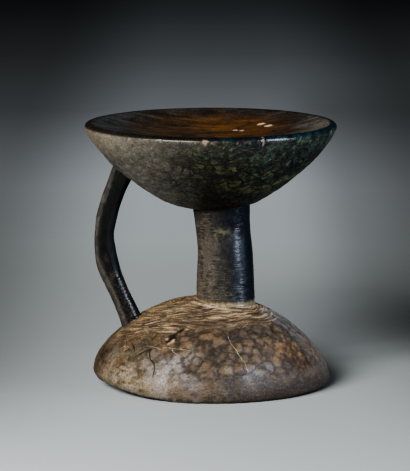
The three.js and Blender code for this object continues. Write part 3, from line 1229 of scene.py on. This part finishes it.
        # Zones of colour
        edge_band = fade(z, 8.0, 24.0)
        tan = fibrous * stroke**1.4 * ease(fine + middle, -1.4, -0.2)
        front = ease(facing, -144.0, -88.0) * ease(-facing, -10.0, 20.0)
        smooth_spot = at.toward(-76.0, 16.0) * near(radius, 67.0, 9.0)
        flank = fade(at.off(10.0), 22.0, 42.0) * ease(radius, 60.0, 80.0)
        flank = flank * (1.0 - 0.75 * ease(radius + 6.0 * middle, 104.0, 130.0))
        around = np.radians(facing) * self.unrolled_radius
        slant = np.stack([(around - down) / 13.0, (around + down) / 2.6, 0.0 * down], -1)
        glint = smeared * ease(layered(slant, 151, 2) + 0.4 * middle, 0.1, 0.9)
        low_left = at.toward(-136.0, 34.0) * ease(radius, 134.0, 146.0)
        low_right = fade(at.off(-34.0), 20.0, 52.0) * fade(z + 4.0 * middle, 14.0, 36.0)
        from_column = polar(place, self.axis[0] + self.column_shift, self.axis[1])[1] + 1.5 * fine
        rubbed = near(from_column, 46.5, 5.5) * at.toward(-100.0, 70.0)
        pale = fade(mark_reach(facing, radius, (-112.0, 140.0, 28.0, 18.0)), 0.5, 1.1)

        colour = painted(
            evenly("#63523e", place),
            ("#4b4036", 0.8 * ease(0.7 * broad + 0.6 * middle, 0.0, 0.7)),
            ("#574a3b", 0.55 * ease(mottle, 0.0, 0.5)),
            ("#53463a", 0.95 * fibrous),
            ("#6b573b", 0.5 * fibrous * ease(middle + fine, -0.2, 0.8)),
            ("#6a5652", 0.35 * fibrous * ease(fine - middle, 0.1, 0.9)),
            # Painted shade in the groove below each stroke
            ("#241b13", 0.6 * fibrous * groove_and_shade),
            ("#c4ab84", 0.75 * tan),
            ("#94723f", 0.7 * tan * fade(at.off(-25.0), 20.0, 50.0)),
            ("#45301b", 0.62 * fibrous * front),
            ("#8f7d5f", 0.6 * smooth_spot),
            ("#38291a", 0.6 * pebbled * ease(0.5 - name, -0.1, 0.3)),
            ("#715a3e", 0.42 * pebbled * ease(name, 0.45, 0.9) * ease(facet, 0.2, 0.8)),
            ("#77746e", 0.8 * flank * (1.0 - edge_band)),
            ("#a09d96", 0.35 * flank * ease(streak, 0.0, 0.5)),
            ("#47423e", 0.8 * flank * ease(z, 62.0, 86.0) * ease(-streak, -0.6, 0.3)),
            # Stain marks, and grey painted highlights on the lower front
            *self.stained_and_highlit(at),
            ("#a67c4c", 0.5 * glint),
            # Painted shade in the valleys between facets and between the small knobs
            ("#1f1812", 0.72 * pebbled * valley),
            ("#1d150f", 0.6 * small * fade(knob, 0.0, 0.5)),
            ("#6a625a", 0.5 * edge_band * ease(0.5 * fine + mottle, -0.9, 0.5)),
            ("#3a3128", 0.75 * edge_band * ease(mottle + 0.4 * broad, -0.2, 0.5)),
            ("#aca190", 0.6 * low_left * ease(0.4 * fine + mottle, -1.0, 0.6)),
            ("#2e2114", 0.78 * low_right),
            ("#c4ad86", 0.7 * fade(from_column, 38.8, 41.8)),
            ("#d3c2a2", 0.85 * rubbed),
            ("#0c0907", 0.92 * gash),
            ("#bfa47c", 0.75 * chip),
        )
        height = 0.5 * broad + 0.3 * middle + fibrous * (0.9 * stroke - 0.6 * groove_and_shade - 0.1)
        height = height + pebbled * (0.5 + 0.5 * rough) * (1.9 * facet - 0.6 * valley - 0.7)
        height = height + 1.2 * small * (knob - 0.5) - 0.9 * fade(to_crack, 0.3, 2.0)
        height = height - 0.4 * chip - 1.6 * gash
        polish = 0.3 + 0.15 * pebbled * facet - 0.12 * fibrous - 0.2 * edge_band + 0.08 * pale - 0.2 * flank
        return Dressing(
            height, colour, polish, lay, strokes=0.75 * fibrous * (1.0 - gash),
            worn=(0.45 - 0.2 * rough - 0.1 * fibrous) * (1.0 - gash),
            scratch=scratch, scratched=fade(to_scratch, 1.0, 2.4),
            crack=crack, cracked=fade(to_crack, 1.5, 3.2),
        )


@dataclass(frozen=True)
class Handle:
    """The bent stave: a section with flat cuts carried along a path from the bowl to the dome."""

    axis: tuple[float, float]
    path: tuple = (
        (-108.5, 287.0), (-118.7, 262.0), (-129.0, 235.0), (-135.2, 211.0), (-138.0, 192.0),
        (-136.6, 169.0), (-130.4, 145.0), (-117.6, 113.5), (-107.5, 89.0), (-98.0, 66.0),
    )
    cuts: tuple = (
        (0.0, 11.2), (45.0, 13.6), (90.0, 12.8), (135.0, 13.8), (180.0, 11.2), (222.0, 13.0),
        (270.0, 12.8), (315.0, 13.5),
    )
    sharpness: float = 18.0
    twist: float = 9.0
    twist_between: tuple[float, float] = (118.0, 146.0)
    inner_growth: tuple = (
        (0.0, 3.0), (88.0, 2.8), (98.0, 2.2), (103.0, 2.4), (118.0, 3.6), (127.0, 3.3), (145.0, 2.2),
        (168.0, 0.9), (182.0, 1.0), (195.0, 1.9), (230.0, 1.4),
    )
    outer_growth: tuple = (
        (0.0, 0.0), (60.0, 0.4), (80.0, 0.9), (95.0, -0.7), (113.0, 0.0), (134.0, 1.7), (150.0, 1.2),
        (165.0, 0.0), (185.0, -0.9), (230.0, -0.9),
    )
    flare: float = 0.17
    flare_share: float = 0.18
    lay_radius: float = 13.0
    step_spacing: float = 4.6
    rows: int = 150
    sides: int = 48

    def section(self, turn: Array, run: Array) -> Array:
        """Radius of the section at each row: its flat cuts joined by a power sum.

        The radius is (sum of (cos(turn - cut)/distance)^p)^(-1/p). A cut stands further out by the
        growth of the side that it faces, as far as it faces it.

        Args:
            turn: direction of each point in the section.
            run: distance run along the path at each row.

        Returns:
            One row of radii for each row of the path.
        """
        inner, outer = (
            np.interp(run, *np.array(table).T)[:, None]
            for table in (self.inner_growth, self.outer_growth)
        )
        turned = np.radians(self.twist) * ease(run, *self.twist_between)[:, None]
        total = np.zeros((len(run), len(turn)))
        for direction, distance in self.cuts:
            faced = math.cos(math.radians(direction))
            out = distance + inner * max(0.0, faced) + outer * max(0.0, -faced)
            share = np.clip(np.cos(turn + turned - math.radians(direction)), 0.0, None)
            total += (share / out) ** self.sharpness
        return total ** (-1.0 / self.sharpness)

    def surface(self) -> Surface:
        """Carries the section along the path, its ends inside the bowl and the dome.

        Returns:
            The closed and dressed surface of the handle.
        """
        path = smooth_curve(self.path, self.rows)
        tangent = np.gradient(path, axis=0)
        tangent /= np.linalg.norm(tangent, axis=1, keepdims=True)
        side = np.stack([-tangent[:, 1], tangent[:, 0]], -1)
        run = run_of(path)
        share = run / run[-1]
        end = np.minimum(share, 1.0 - share)
        grow = 1.0 + self.flare * fade(end, 0.0, self.flare_share)
        turn = directions(self.sides)
        radius = self.section(turn, run) * grow[:, None]
        across, deep = radius * np.cos(turn), radius * np.sin(turn)
        rings = []
        for row in range(self.rows):
            x = path[row, 0] + across[row] * side[row, 0] + self.axis[0]
            z = path[row, 1] + across[row] * side[row, 1]
            rings.append(np.stack([x, deep[row] + self.axis[1], z], -1))
        place, faces = closed_by_rings(rings)
        along = np.concatenate([np.repeat(run, self.sides), run[[0, -1]]])
        around = np.concatenate([np.tile(turn, self.rows), [0.0, 0.0]])
        return Surface(place, faces, self.dress(place, around, along, run[-1]))

    def dress(self, place: Array, around: Array, along: Array, length: float) -> Dressing:
        """Whittled faces, dark front, greyer outer face, and small knife steps low on the front.

        Args:
            place: points on the plain handle.
            around: direction in the section, 0 towards the column.
            along: distance run from the top.
            length: the whole path's length.

        Returns:
            Their dressing.
        """
        facing = np.degrees(around)
        lay = np.stack([self.lay_radius * np.cos(around), self.lay_radius * np.sin(around), along], -1)
        whittled = layered(lay / (14.0, 14.0, 26.0), 131, 2)
        fine = layered(lay / (5.0, 5.0, 9.0), 135, 2)
        low = ease(along, 0.56 * length, 0.7 * length)
        steps_on = fade(turned_off(facing, -52.0), 16.0, 32.0) * low
        steps = 0.5 + 0.5 * np.sin(along * TURN / self.step_spacing + 2.0 * fine)
        outer = fade(turned_off(facing, 190.0) - 16.0 * low, 40.0, 56.0)
        front_edge = fade(turned_off(facing, -26.0), 30.0, 44.0) * (1.0 - low)
        colour = painted(
            evenly("#030204", place),
            ("#403d3b", 0.9 * outer),
            ("#6a635c", 0.4 * outer * ease(fine, 0.0, 0.6)),
            ("#2f2620", 0.85 * ease(whittled + 0.8 * fine + 1.2 * low, 0.6, 1.5) * (1.0 - outer)),
            ("#3f3936", 0.3 * low * ease(fine, 0.2, 0.7)),
        )
        height = 0.35 * whittled + 0.1 * fine + 0.9 * steps_on * (steps - 0.5)
        polish = 0.9 - 0.6 * outer - 0.75 * front_edge - 0.1 * steps_on + 0.08 * whittled
        return Dressing(height, colour, polish, lay, worn=0.15 * low)


# Finish


def add_node(tree: bpy.types.NodeTree, kind: str, inputs: dict | None = None, output: int | str = 0,
             **settings: object) -> bpy.types.NodeSocket | bpy.types.Node:
    """Adds a shader node with its settings, values and links.

    Args:
        tree: the node tree.
        kind: the node's type name without its common beginning, ShaderNode.
        inputs: a value, or the socket to link, for each input by name or number.
        output: which of the node's outputs is wanted.
        settings: properties of the node.

    Returns:
        The wanted output of the new node; the node itself where it has none.
    """
    node = tree.nodes.new("ShaderNode" + kind)
    for name, value in settings.items():
        setattr(node, name, value)
    for name, value in (inputs or {}).items():
        if isinstance(value, bpy.types.NodeSocket):
            tree.links.new(value, node.inputs[name])
        else:
            node.inputs[name].default_value = value
    return node.outputs[output] if node.outputs else node


def new_material(name: str) -> tuple[bpy.types.Material, partial]:
    """Makes a material without nodes.

    Args:
        name: its name.

    Returns:
        The material, and add_node bound to its tree.
    """
    made = bpy.data.materials.new(name)
    made.use_nodes = True
    made.node_tree.nodes.clear()
    return made, partial(add_node, made.node_tree)


@dataclass(frozen=True)
class PatinatedHardwood:
    """Dense African hardwood, adzed and whittled, then darkened by smoke, oil and handling.

    To the eye it is nearly black-brown wood: half glossy where hands and bodies rub it, matt and
    dusty in the tool marks, with pale raised grain where the surface has weathered.

    Attributes:
        patterns: name, size in millimetres, detail and limits of each noise.
        along_grain: patterns that follow the grain; the others lie in Object coordinates.
        crossings: patterns that show fine lines where their noise passes its middle.
        marks: name of each mark, the attribute that limits it, strength and colour of its tint, and
            its rise as a share of the bump depth.
        polish_limits: where grit is strongest and weakest in relief, by polish.
        grit_relief: grit's rise at those two, as a share of the bump depth.
        drift_size: size of the noise that bends the crackle, in millimetres; drift is its reach.
        drawn_widths: half width of each drawn mark in millimetres.
    """

    name: str = "patinated_hardwood"
    ior: float = 1.4
    matt_roughness: float = 0.78
    rubbed_roughness: float = 0.16
    cloudy_roughness: float = 0.14
    patterns: tuple = (
        ("grit", (1.8, 1.8, 1.8), 3.0, 0.2, 0.8),
        ("cloud", (9.0, 9.0, 9.0), 4.0, 0.3, 0.7),
        ("light_scuff", (3.4, 3.4, 3.4), 3.0, 0.5, 0.72),
        ("dark_scuff", (4.42, 4.42, 4.42), 3.0, 0.52, 0.35),
        ("stroke", (30.0, 30.0, 2.6), 3.0, 0.5, 0.64),
        ("furrow", (30.0, 30.0, 2.6), 3.0, 0.48, 0.36),
        ("tick", (12.0, 12.0, 1.7), 2.0, 0.46, 0.6),
        ("thread", (7.0, 7.0, 7.0), 3.0, 0.03, 0.0),
        ("straw", (15.0, 15.0, 5.0), 3.0, 0.022, 0.0),
    )
    along_grain: tuple = ("stroke", "furrow", "tick")
    crossings: tuple = ("thread", "straw")
    marks: tuple = (
        ("cell", "crackle", 0.75, "#0e110e", 0.0),
        ("light_scuff", "worn", 0.2, "#a99576", 0.22),
        ("dark_scuff", "worn", 0.5, "#1c1713", -0.22),
        ("thread", "worn", 0.5, "#17120e", -0.2),
        ("straw", "worn", 0.55, "#b39c76", 0.0),
        ("stroke", "strokes", 0.66, "#c8ad82", 0.5),
        ("furrow", "strokes", 0.7, "#20170f", -0.4),
        ("tick", "ticks", 0.24, "#968a79", 0.16),
        ("crackle", "crackle", 0.85, "#05070a", -0.5),
        ("scratch", "scratched", 0.62, "#c9b590", 0.3),
        ("crack", "cracked", 0.8, "#0c0907", -0.8),
    )
    polish_limits: tuple[float, float] = (0.2, 0.9)
    grit_relief: tuple[float, float] = (0.13, 0.04)
    grit_shade: str = "#aaaaaa"
    drift_size: float = 10.0
    drift: float = 9.0
    crackle_cell: float = 14.0
    crackle_width: float = 1.5
    drawn_widths: tuple = (("scratch", 0.48), ("crack", 0.9))
    bump_depth: float = 0.9

    def fields(self, node: partial, stored: dict, place: bpy.types.NodeSocket) -> dict:
        """Strength of each fine mark, 0 to 1, all over the wood.

        Args:
            node: add_node for the material's tree.
            stored: the dressing's attributes.
            place: Object coordinates.

        Returns:
            One socket for each mark, and for the grit and the cloud.
        """
        smooth = {"interpolation_type": "SMOOTHSTEP"}
        fields = {}
        for name, size, detail, low, high in self.patterns:
            vector = stored["lay"] if name in self.along_grain else place
            scale = [1.0 / (length * MM) for length in size]
            counted = node("VectorMath", {0: vector, 1: scale}, operation="MULTIPLY")
            value = node("TexNoise", {"Vector": counted, "Scale": 1.0, "Detail": detail})
            if name in self.crossings:
                offset = node("Math", {0: value, 1: 0.5}, operation="SUBTRACT")
                value = node("Math", {0: offset}, operation="ABSOLUTE")
            limits = {"Value": value, "From Min": low, "From Max": high}
            fields[name] = node("MapRange", limits, **({} if name in self.crossings else smooth))

        # Crackle: edges of drifting cells, wide where its share is high, fading with the cloud
        drift_scale, cell_scale = 1.0 / (self.drift_size * MM), 1.0 / (self.crackle_cell * MM)
        bend = node("TexNoise", {"Vector": place, "Scale": drift_scale, "Detail": 2.0}, "Color")
        bent = node("VectorMath", {0: bend, 1: (self.drift * MM,) * 3, 2: place}, operation="MULTIPLY_ADD")
        cell = {"Vector": bent, "Scale": cell_scale}
        edge = node("TexVoronoi", cell, "Distance", feature="DISTANCE_TO_EDGE")
        inside = node("Math", {0: edge, 1: self.crackle_cell}, operation="MULTIPLY")
        width = node("Math", {0: stored["crackle"], 1: self.crackle_width}, operation="MULTIPLY")
        depth = node("Math", {0: width, 1: inside}, operation="SUBTRACT")
        crackle = node("MapRange", {"Value": depth, "From Min": -0.3, "From Max": 0.5}, **smooth)
        named = node("TexVoronoi", cell, "Color")
        fields["cell"] = node("MapRange", {"Value": named, "From Min": 0.35, "From Max": 0.75}, **smooth)

        # Drawn marks: thin where their signed distance passes 0
        for name, half in self.drawn_widths:
            size = node("Math", {0: stored[name]}, operation="ABSOLUTE")
            limits = {"Value": size, "From Min": half, "From Max": 0.4 * half}
            fields[name] = node("MapRange", limits, **smooth)
        fading = {"Value": fields["cloud"], "From Min": 0.1, "From Max": 0.55, "To Min": 0.35}
        fields["crackle"] = node("Math", {0: crackle, 1: node("MapRange", fading)}, operation="MULTIPLY")
        return fields

    def material(self) -> bpy.types.Material:
        """Builds the material: every mark tints the patina's colour and rises or sinks in it.

        Returns:
            Builds the material: every mark tints the stored colour, the wood's own with painted light and
            shade in places, and rises or sinks in it.
        """
        made, node = new_material(self.name)
        stored = {
            name: node("Attribute", {}, output, attribute_name=name)
            for name, output in (("patina", "Color"), ("lay", "Vector"), *((n, "Fac") for n in SHADED))
        }
        fields = self.fields(node, stored, node("TexCoord", {}, "Object"))
        polish, (low, high) = stored["polish"], self.polish_limits
        limits = {"Value": polish, "From Min": low, "From Max": high}
        matt, rubbed = self.grit_relief
        relief = node("MapRange", {**limits, "To Min": matt, "To Max": rubbed})
        relief = node("Math", {0: relief, 1: fields["grit"]}, operation="MULTIPLY")
        # The stored colour is the wood's own, with painted light and shade laid into it in places
        colour = stored["patina"]
        for name, share, strength, code, rise in self.marks:
            mark = node("Math", {0: fields[name], 1: stored[share]}, operation="MULTIPLY")
            weight = node("Math", {0: mark, 1: strength}, operation="MULTIPLY")
            colour = node("Mix", {0: weight, 6: colour, 7: (*linear_rgb(code), 1.0)}, 2, data_type="RGBA")
            relief = node("Math", {0: mark, 1: rise, 2: relief}, operation="MULTIPLY_ADD")
        shades = {0: fields["grit"], 6: (*linear_rgb(self.grit_shade), 1.0), 7: (1.0, 1.0, 1.0, 1.0)}
        shade = node("Mix", shades, 2, data_type="RGBA")
        colour = node("Mix", {0: 1.0, 6: colour, 7: shade}, 2, data_type="RGBA", blend_type="MULTIPLY")
        limits = {"Value": polish, "To Min": self.matt_roughness, "To Max": self.rubbed_roughness}
        cloudy = {0: fields["cloud"], 1: self.cloudy_roughness, 2: node("MapRange", limits)}
        rough = node("Math", cloudy, operation="MULTIPLY_ADD")
        bump = node("Bump", {"Height": relief, "Strength": 1.0, "Distance": self.bump_depth * MM})
        surface = {"Base Color": colour, "Roughness": rough, "Normal": bump, "IOR": self.ior}
        node("OutputMaterial", {"Surface": node("BsdfPrincipled", surface)})
        return made


# The whole stool


def mesh_object(name: str, place: Array, faces: Array) -> bpy.types.Object:
    """Makes a smooth mesh object at the origin.

    Args:
        name: name of the object and its mesh.
        place: points in millimetres.
        faces: triangles.

    Returns:
        The object, in the scene.
    """
    mesh = bpy.data.meshes.new(name)
    mesh.from_pydata(place * MM, [], faces)
    mesh.polygons.foreach_set("use_smooth", np.ones(len(faces), bool))
    mesh.update()
    made = bpy.data.objects.new(name, mesh)
    bpy.context.scene.collection.objects.link(made)
    return made


def points_of(mesh: bpy.types.Mesh) -> Array:
    """Reads where a mesh's points lie.

    Args:
        mesh: the mesh.

    Returns:
        Their places in millimetres.
    """
    flat = np.zeros(3 * len(mesh.vertices), np.float32)
    mesh.vertices.foreach_get("co", flat)
    return flat.reshape(-1, 3).astype(float) / MM


def nearest_known(wanted: Array, known: Array) -> Array:
    """Number of the known point at or nearest to each wanted point.

    Points are matched by one whole number made of their three places in steps of a micrometre;
    the few that have no match are compared with every known point within a short reach.

    Args:
        wanted: points to be matched.
        known: points to match with.

    Returns:
        One number for each wanted point.
    """
    step, span, shift, reach = 0.001, 1 << 20, 200.0, 12.0

    def keys(points: Array) -> Array:
        """One whole number for each point."""
        whole = np.round((points + shift) / step).astype(np.int64)
        return (whole[:, 0] * span + whole[:, 1]) * span + whole[:, 2]

    known_keys = keys(known)
    order = np.argsort(known_keys)
    slot = np.clip(np.searchsorted(known_keys[order], keys(wanted)), 0, len(known) - 1)
    found = order[slot]
    new = np.flatnonzero(known_keys[found] != keys(wanted))
    if len(new):
        low, high = wanted[new].min(axis=0) - reach, wanted[new].max(axis=0) + reach
        close = np.flatnonzero(np.all((known > low) & (known < high), axis=1))
        gap = ((wanted[new, None] - known[None, close]) ** 2).sum(axis=-1)
        found[new] = close[gap.argmin(axis=1)]
    return found


def store(mesh: bpy.types.Mesh, dressing: Dressing) -> None:
    """Writes the dressing into the mesh as attributes that the material reads.

    Args:
        mesh: the mesh.
        dressing: one value for each of its points.
    """
    count = len(dressing.height)
    colour = np.concatenate([np.clip(dressing.colour, 0.0, 1.0), np.ones((count, 1))], axis=1)
    mesh.attributes.new("patina", "FLOAT_COLOR", "POINT").data.foreach_set(
        "color", colour.astype(np.float32).ravel()
    )
    mesh.attributes.new("lay", "FLOAT_VECTOR", "POINT").data.foreach_set(
        "vector", (dressing.lay * MM).astype(np.float32).ravel()
    )
    for name in SHADED:
        values = getattr(dressing, name).astype(np.float32)
        mesh.attributes.new(name, "FLOAT", "POINT").data.foreach_set("value", values)


@dataclass(frozen=True)
class Stool:
    """The whole carving: seat, column, foot and handle, one piece of wood."""

    seat: Seat = Seat()

    def body(self) -> Surface:
        """Joins seat, column and foot, ring by ring from the dish down.

        Returns:
            Their one closed surface.
        """
        seat = self.seat
        column, foot = Column(seat.axis), Foot(seat.axis)
        bowl, dome = seat.bowl_rings(column), foot.dome_rings(column)
        stretches = [
            (seat.dish_rings(), seat.dress_dish),
            (bowl, seat.dress_bowl),
            (column.rings(bowl[-1][:, 2], dome[0][:, 2]), column.dress),
            (dome, foot.dress_dome),
            (foot.under_rings(), foot.dress_under),
        ]
        place, faces = closed_by_rings([ring for rings, _ in stretches for ring in rings])
        parts = [dress(np.concatenate(rings)) for rings, dress in stretches]
        ends = [seat.dress_dish(place[-2:-1]), foot.dress_under(place[-1:])]
        return Surface(place, faces, Dressing.joined(parts + ends))

    def build(self, finish: PatinatedHardwood) -> bpy.types.Object:
        """Makes the piece: carved body and carved handle, joined by a union.

        Args:
            finish: the wood's material.

        Returns:
            The finished object.
        """
        body, handle = self.body(), Handle(self.seat.axis).surface()
        low, high = (np.array(corner) / MM for corner in CAD_BOX)
        stool, blank = (
            mesh_object(name, np.clip(surface.carved(), low, high), surface.faces)
            for name, surface in (("carved_stool", body), ("handle_blank", handle))
        )
        known = np.concatenate([points_of(piece.data) for piece in (stool, blank)])
        joint = stool.modifiers.new("joint", "BOOLEAN")
        joint.operation, joint.solver, joint.object = "UNION", "MANIFOLD", blank
        graph = bpy.context.evaluated_depsgraph_get()
        whole = bpy.data.meshes.new_from_object(stool.evaluated_get(graph))
        stool.modifiers.clear()
        stool.data = whole
        bpy.data.objects.remove(blank)
        dressing = Dressing.joined([body.dressing, handle.dressing])
        store(whole, dressing.picked(nearest_known(points_of(whole), known)))
        whole.materials.clear()
        whole.materials.append(finish.material())
        return stool


# Studio


class Beam(Enum):
    """What a lamp shines on."""

    ALL = "all"
    STOOL = "stool_only"
    FLOOR = "floor_only"


@dataclass(frozen=True)
class SoftLamp:
    """Rectangular soft lamp that faces the stool.

    Attributes:
        name: the lamp's name.
        direction: degrees round the stool, to the right of the camera.
        rise: degrees above level.
        distance: metres from the stool.
        size: width and height in metres.
        power: watts.
        code: hex colour.
        beam: what it shines on.
        mirrored: whether glossy wood shows the lamp itself.
    """

    name: str
    direction: float
    rise: float
    distance: float
    size: tuple[float, float]
    power: float
    code: str
    beam: Beam = Beam.ALL
    mirrored: bool = True

    def build(self, aim: Vector) -> bpy.types.Object:
        """Makes the lamp, standing round its aim and turned to it.

        Args:
            aim: the place that the lamp faces.

        Returns:
            The lamp.
        """
        data = bpy.data.lights.new(self.name, "AREA")
        data.shape = "RECTANGLE"
        data.size, data.size_y = self.size
        data.energy, data.color = self.power, linear_rgb(self.code)
        turn, rise = math.radians(self.direction), math.radians(self.rise)
        away = Vector((math.sin(turn) * math.cos(rise), -math.cos(turn) * math.cos(rise), math.sin(rise)))
        made = stood(data, aim + self.distance * away, aim)
        made.visible_glossy = self.mirrored
        return made


def stood(data: bpy.types.ID, place: Vector, aim: Vector) -> bpy.types.Object:
    """Stands a lamp or camera in the scene, turned to its aim.

    Args:
        data: the lamp's or camera's settings.
        place: where it stands.
        aim: the place that it faces.

    Returns:
        The lamp or camera.
    """
    made = bpy.data.objects.new(data.name, data)
    made.location = place
    made.rotation_euler = (aim - place).to_track_quat("-Z", "Y").to_euler()
    bpy.context.scene.collection.objects.link(made)
    return made


@dataclass(frozen=True)
class MattPaper:
    """Matt grey studio paper, painted pale round the stool and darker with distance from it as painted
    light, with painted shadows of the stool laid over it.

    Attributes:
        middle: middle of the rings on the floor, in metres.
        reach: distance at which the last of the stops lies.
        stops: share of the reach, and hex colour there.
        lane: place across the floor from which aside is measured.
        spot: place from which the last painted shadow is measured.
        painted_shadows: hex colour of each painted shadow, and each measure that it fades in with, from
        none to full.
    """

    name: str = "matt_paper"
    roughness: float = 0.9
    middle: tuple[float, float, float] = (-0.1, -0.6, 0.0)
    reach: float = 7.0
    # Painted light: pale near the stool, darker further off
    stops: tuple = (
        (0.0, "#adb6bb"), (0.13, "#abb4ba"), (0.25, "#bdc6cc"), (0.34, "#b8c0c6"),
        (0.5, "#80868b"), (0.66, "#696f73"), (0.8, "#636a6e"), (1.0, "#72787c"),
    )
    lane: float = 0.03
    spot: tuple[float, float, float] = (0.46, 0.4, 0.0)
    # Painted shadows of the stool, to its sides and behind it on the right
    painted_shadows: tuple = (
        ("#a6a6a6", ("aside", 0.12, 0.42), ("y", -0.7, 0.2)),
        ("#d0d0d0", ("x", 0.1, 0.26), ("y", 0.3, 0.7), ("y", 3.8, 2.6)),
        ("#aaaaaa", ("spot", 0.34, 0.08)),
    )

    def material(self) -> bpy.types.Material:
        """Builds the material: rings of grey that paint the lamps' fall-off, and soft painted shadows
        laid over them.

        Returns:
            The node material, which reads Object coordinates.
        """
        made, node = new_material(self.name)
        place = node("TexCoord", {}, "Object")
        far = node("VectorMath", {0: place, 1: self.middle}, "Value", operation="DISTANCE")
        share = node("Math", {0: far, 1: self.reach}, operation="DIVIDE")
        paint = node("ValToRGB", {"Fac": share})
        elements = paint.node.color_ramp.elements
        for position, _ in self.stops[1:-1]:
            elements.new(position)
        for element, (position, code) in zip(elements, self.stops):
            element.position, element.color = position, (*linear_rgb(code), 1.0)
        x, y = (node("SeparateXYZ", {"Vector": place}, name) for name in ("X", "Y"))
        offset = node("Math", {0: x, 1: self.lane}, operation="SUBTRACT")
        aside = node("Math", {0: offset}, operation="ABSOLUTE")
        spot = node("VectorMath", {0: place, 1: self.spot}, "Value", operation="DISTANCE")
        measures = {"x": x, "y": y, "aside": aside, "spot": spot}
        for code, *limits in self.painted_shadows:
            dim = 1.0
            for measure, low, high in limits:
                fading = {"Value": measures[measure], "From Min": low, "From Max": high}
                fading = node("MapRange", fading, interpolation_type="SMOOTHSTEP")
                dim = node("Math", {0: fading, 1: dim}, operation="MULTIPLY")
            patch = {0: dim, 6: paint, 7: (*linear_rgb(code), 1.0)}
            paint = node("Mix", patch, 2, data_type="RGBA", blend_type="MULTIPLY")
        shader = node("BsdfPrincipled", {"Base Color": paint, "Roughness": self.roughness})
        node("OutputMaterial", {"Surface": shader})
        return made


@dataclass(frozen=True)
class Studio:
    """Pale floor that falls off into the dark, soft lamps round the stool, and the camera.

    The strip and the back lamp shine on the stool alone and the side lamp on the floor alone, so
    the column's highlight and the shape of the shadow can each be as they are in the photo.
    """

    floor_radius: float = 14.0
    floor_sides: int = 96
    floor_rows: int = 24
    aim: tuple[float, float, float] = (0.0, 0.0, 0.17)
    lamps: tuple = (
        SoftLamp("key", -35.0, 27.0, 2.6, (1.7, 0.9), 118.0, "#fffaf2"),
        SoftLamp("strip", 61.0, 20.0, 1.9, (0.5, 1.35), 62.0, "#d2e2ff", Beam.STOOL),
        SoftLamp("back", 160.0, 9.0, 2.4, (1.6, 1.0), 42.0, "#fff4e6", Beam.STOOL, mirrored=False),
        SoftLamp("side", 84.0, 30.0, 2.2, (1.2, 1.0), 5.0, "#ffffff", Beam.FLOOR),
    )
    pool_place: tuple[float, float, float] = (-0.05, 2.5, 3.6)
    pool_aim: tuple[float, float, float] = (-0.05, 3.1, 0.0)
    pool_spread: float = 88.0
    pool_power: float = 230.0
    pool_radius: float = 0.3
    room_colour: str = "#8f959c"
    room_strength: float = 0.062
    camera_place: tuple[float, float, float] = (-0.00725, -4.602, 0.911)
    camera_aim: tuple[float, float, float] = (-0.00725, 0.0, 0.190)
    sensor_width: float = 36.0
    lens: float = 278.4
    contrast: str = "AgX - High Contrast"

    def floor(self) -> bpy.types.Object:
        """Makes the round floor from rings, whose radius grows as the square of their share.

        Returns:
            The floor, marked as part of the stage.
        """
        sides, rows = self.floor_sides, self.floor_rows
        radii = self.floor_radius / MM * (np.arange(1, rows + 1) / rows) ** 2
        rings = [round_ring(0.0, 0.0, r, 0.0, sides) for r in radii]
        faces = [fan(0, 1, sides, Closing.TOP)]
        faces += [zipped(1 + k * sides, sides, 1 + (k + 1) * sides, sides) for k in range(rows - 1)]
        made = mesh_object("studio_floor", np.concatenate([np.zeros((1, 3)), *rings]), np.concatenate(faces))
        made.data.materials.append(MattPaper().material())
        return made

    def light(self, stool: bpy.types.Object, floor: bpy.types.Object) -> None:
        """Stands the lamps and gives each its beam, with a wide pool of light behind.

        Args:
            stool: what the lamps with the stool's beam shine on.
            floor: what the lamps with the floor's beam shine on.
        """
        for beam, lit in ((Beam.STOOL, stool), (Beam.FLOOR, floor)):
            bpy.data.collections.new(beam.value).objects.link(lit)
        for lamp in self.lamps:
            made = lamp.build(Vector(self.aim))
            if lamp.beam is not Beam.ALL:
                made.light_linking.receiver_collection = bpy.data.collections[lamp.beam.value]
        pool = bpy.data.lights.new("pool", "SPOT")
        pool.energy, pool.shadow_soft_size = self.pool_power, self.pool_radius
        pool.spot_size, pool.spot_blend = math.radians(self.pool_spread), 1.0
        stood(pool, Vector(self.pool_place), Vector(self.pool_aim))

    def build(self, stool: bpy.types.Object) -> None:
        """Sets floor, lamps, room and camera.

        Args:
            stool: the finished piece.
        """
        self.light(stool, self.floor())
        scene = bpy.context.scene
        scene.world = bpy.data.worlds.new("grey_room")
        scene.world.use_nodes = True
        background = scene.world.node_tree.nodes["Background"]
        background.inputs["Color"].default_value = (*linear_rgb(self.room_colour), 1.0)
        background.inputs["Strength"].default_value = self.room_strength
        scene.view_settings.look = self.contrast
        data = bpy.data.cameras.new("camera")
        data.sensor_width, data.lens = self.sensor_width, self.lens
        scene.camera = stood(data, Vector(self.camera_place), Vector(self.camera_aim))


def main() -> None:
    """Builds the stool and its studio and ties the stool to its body."""
    logging.basicConfig(level=logging.INFO)
    stool = Stool().build(PatinatedHardwood())
    LOG.info("%s: %d points, %d faces", stool.name, len(stool.data.vertices), len(stool.data.polygons))
    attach(stool, "root")
    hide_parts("stool")
    Studio().build(stool)


if __name__ == "__main__":
    main()
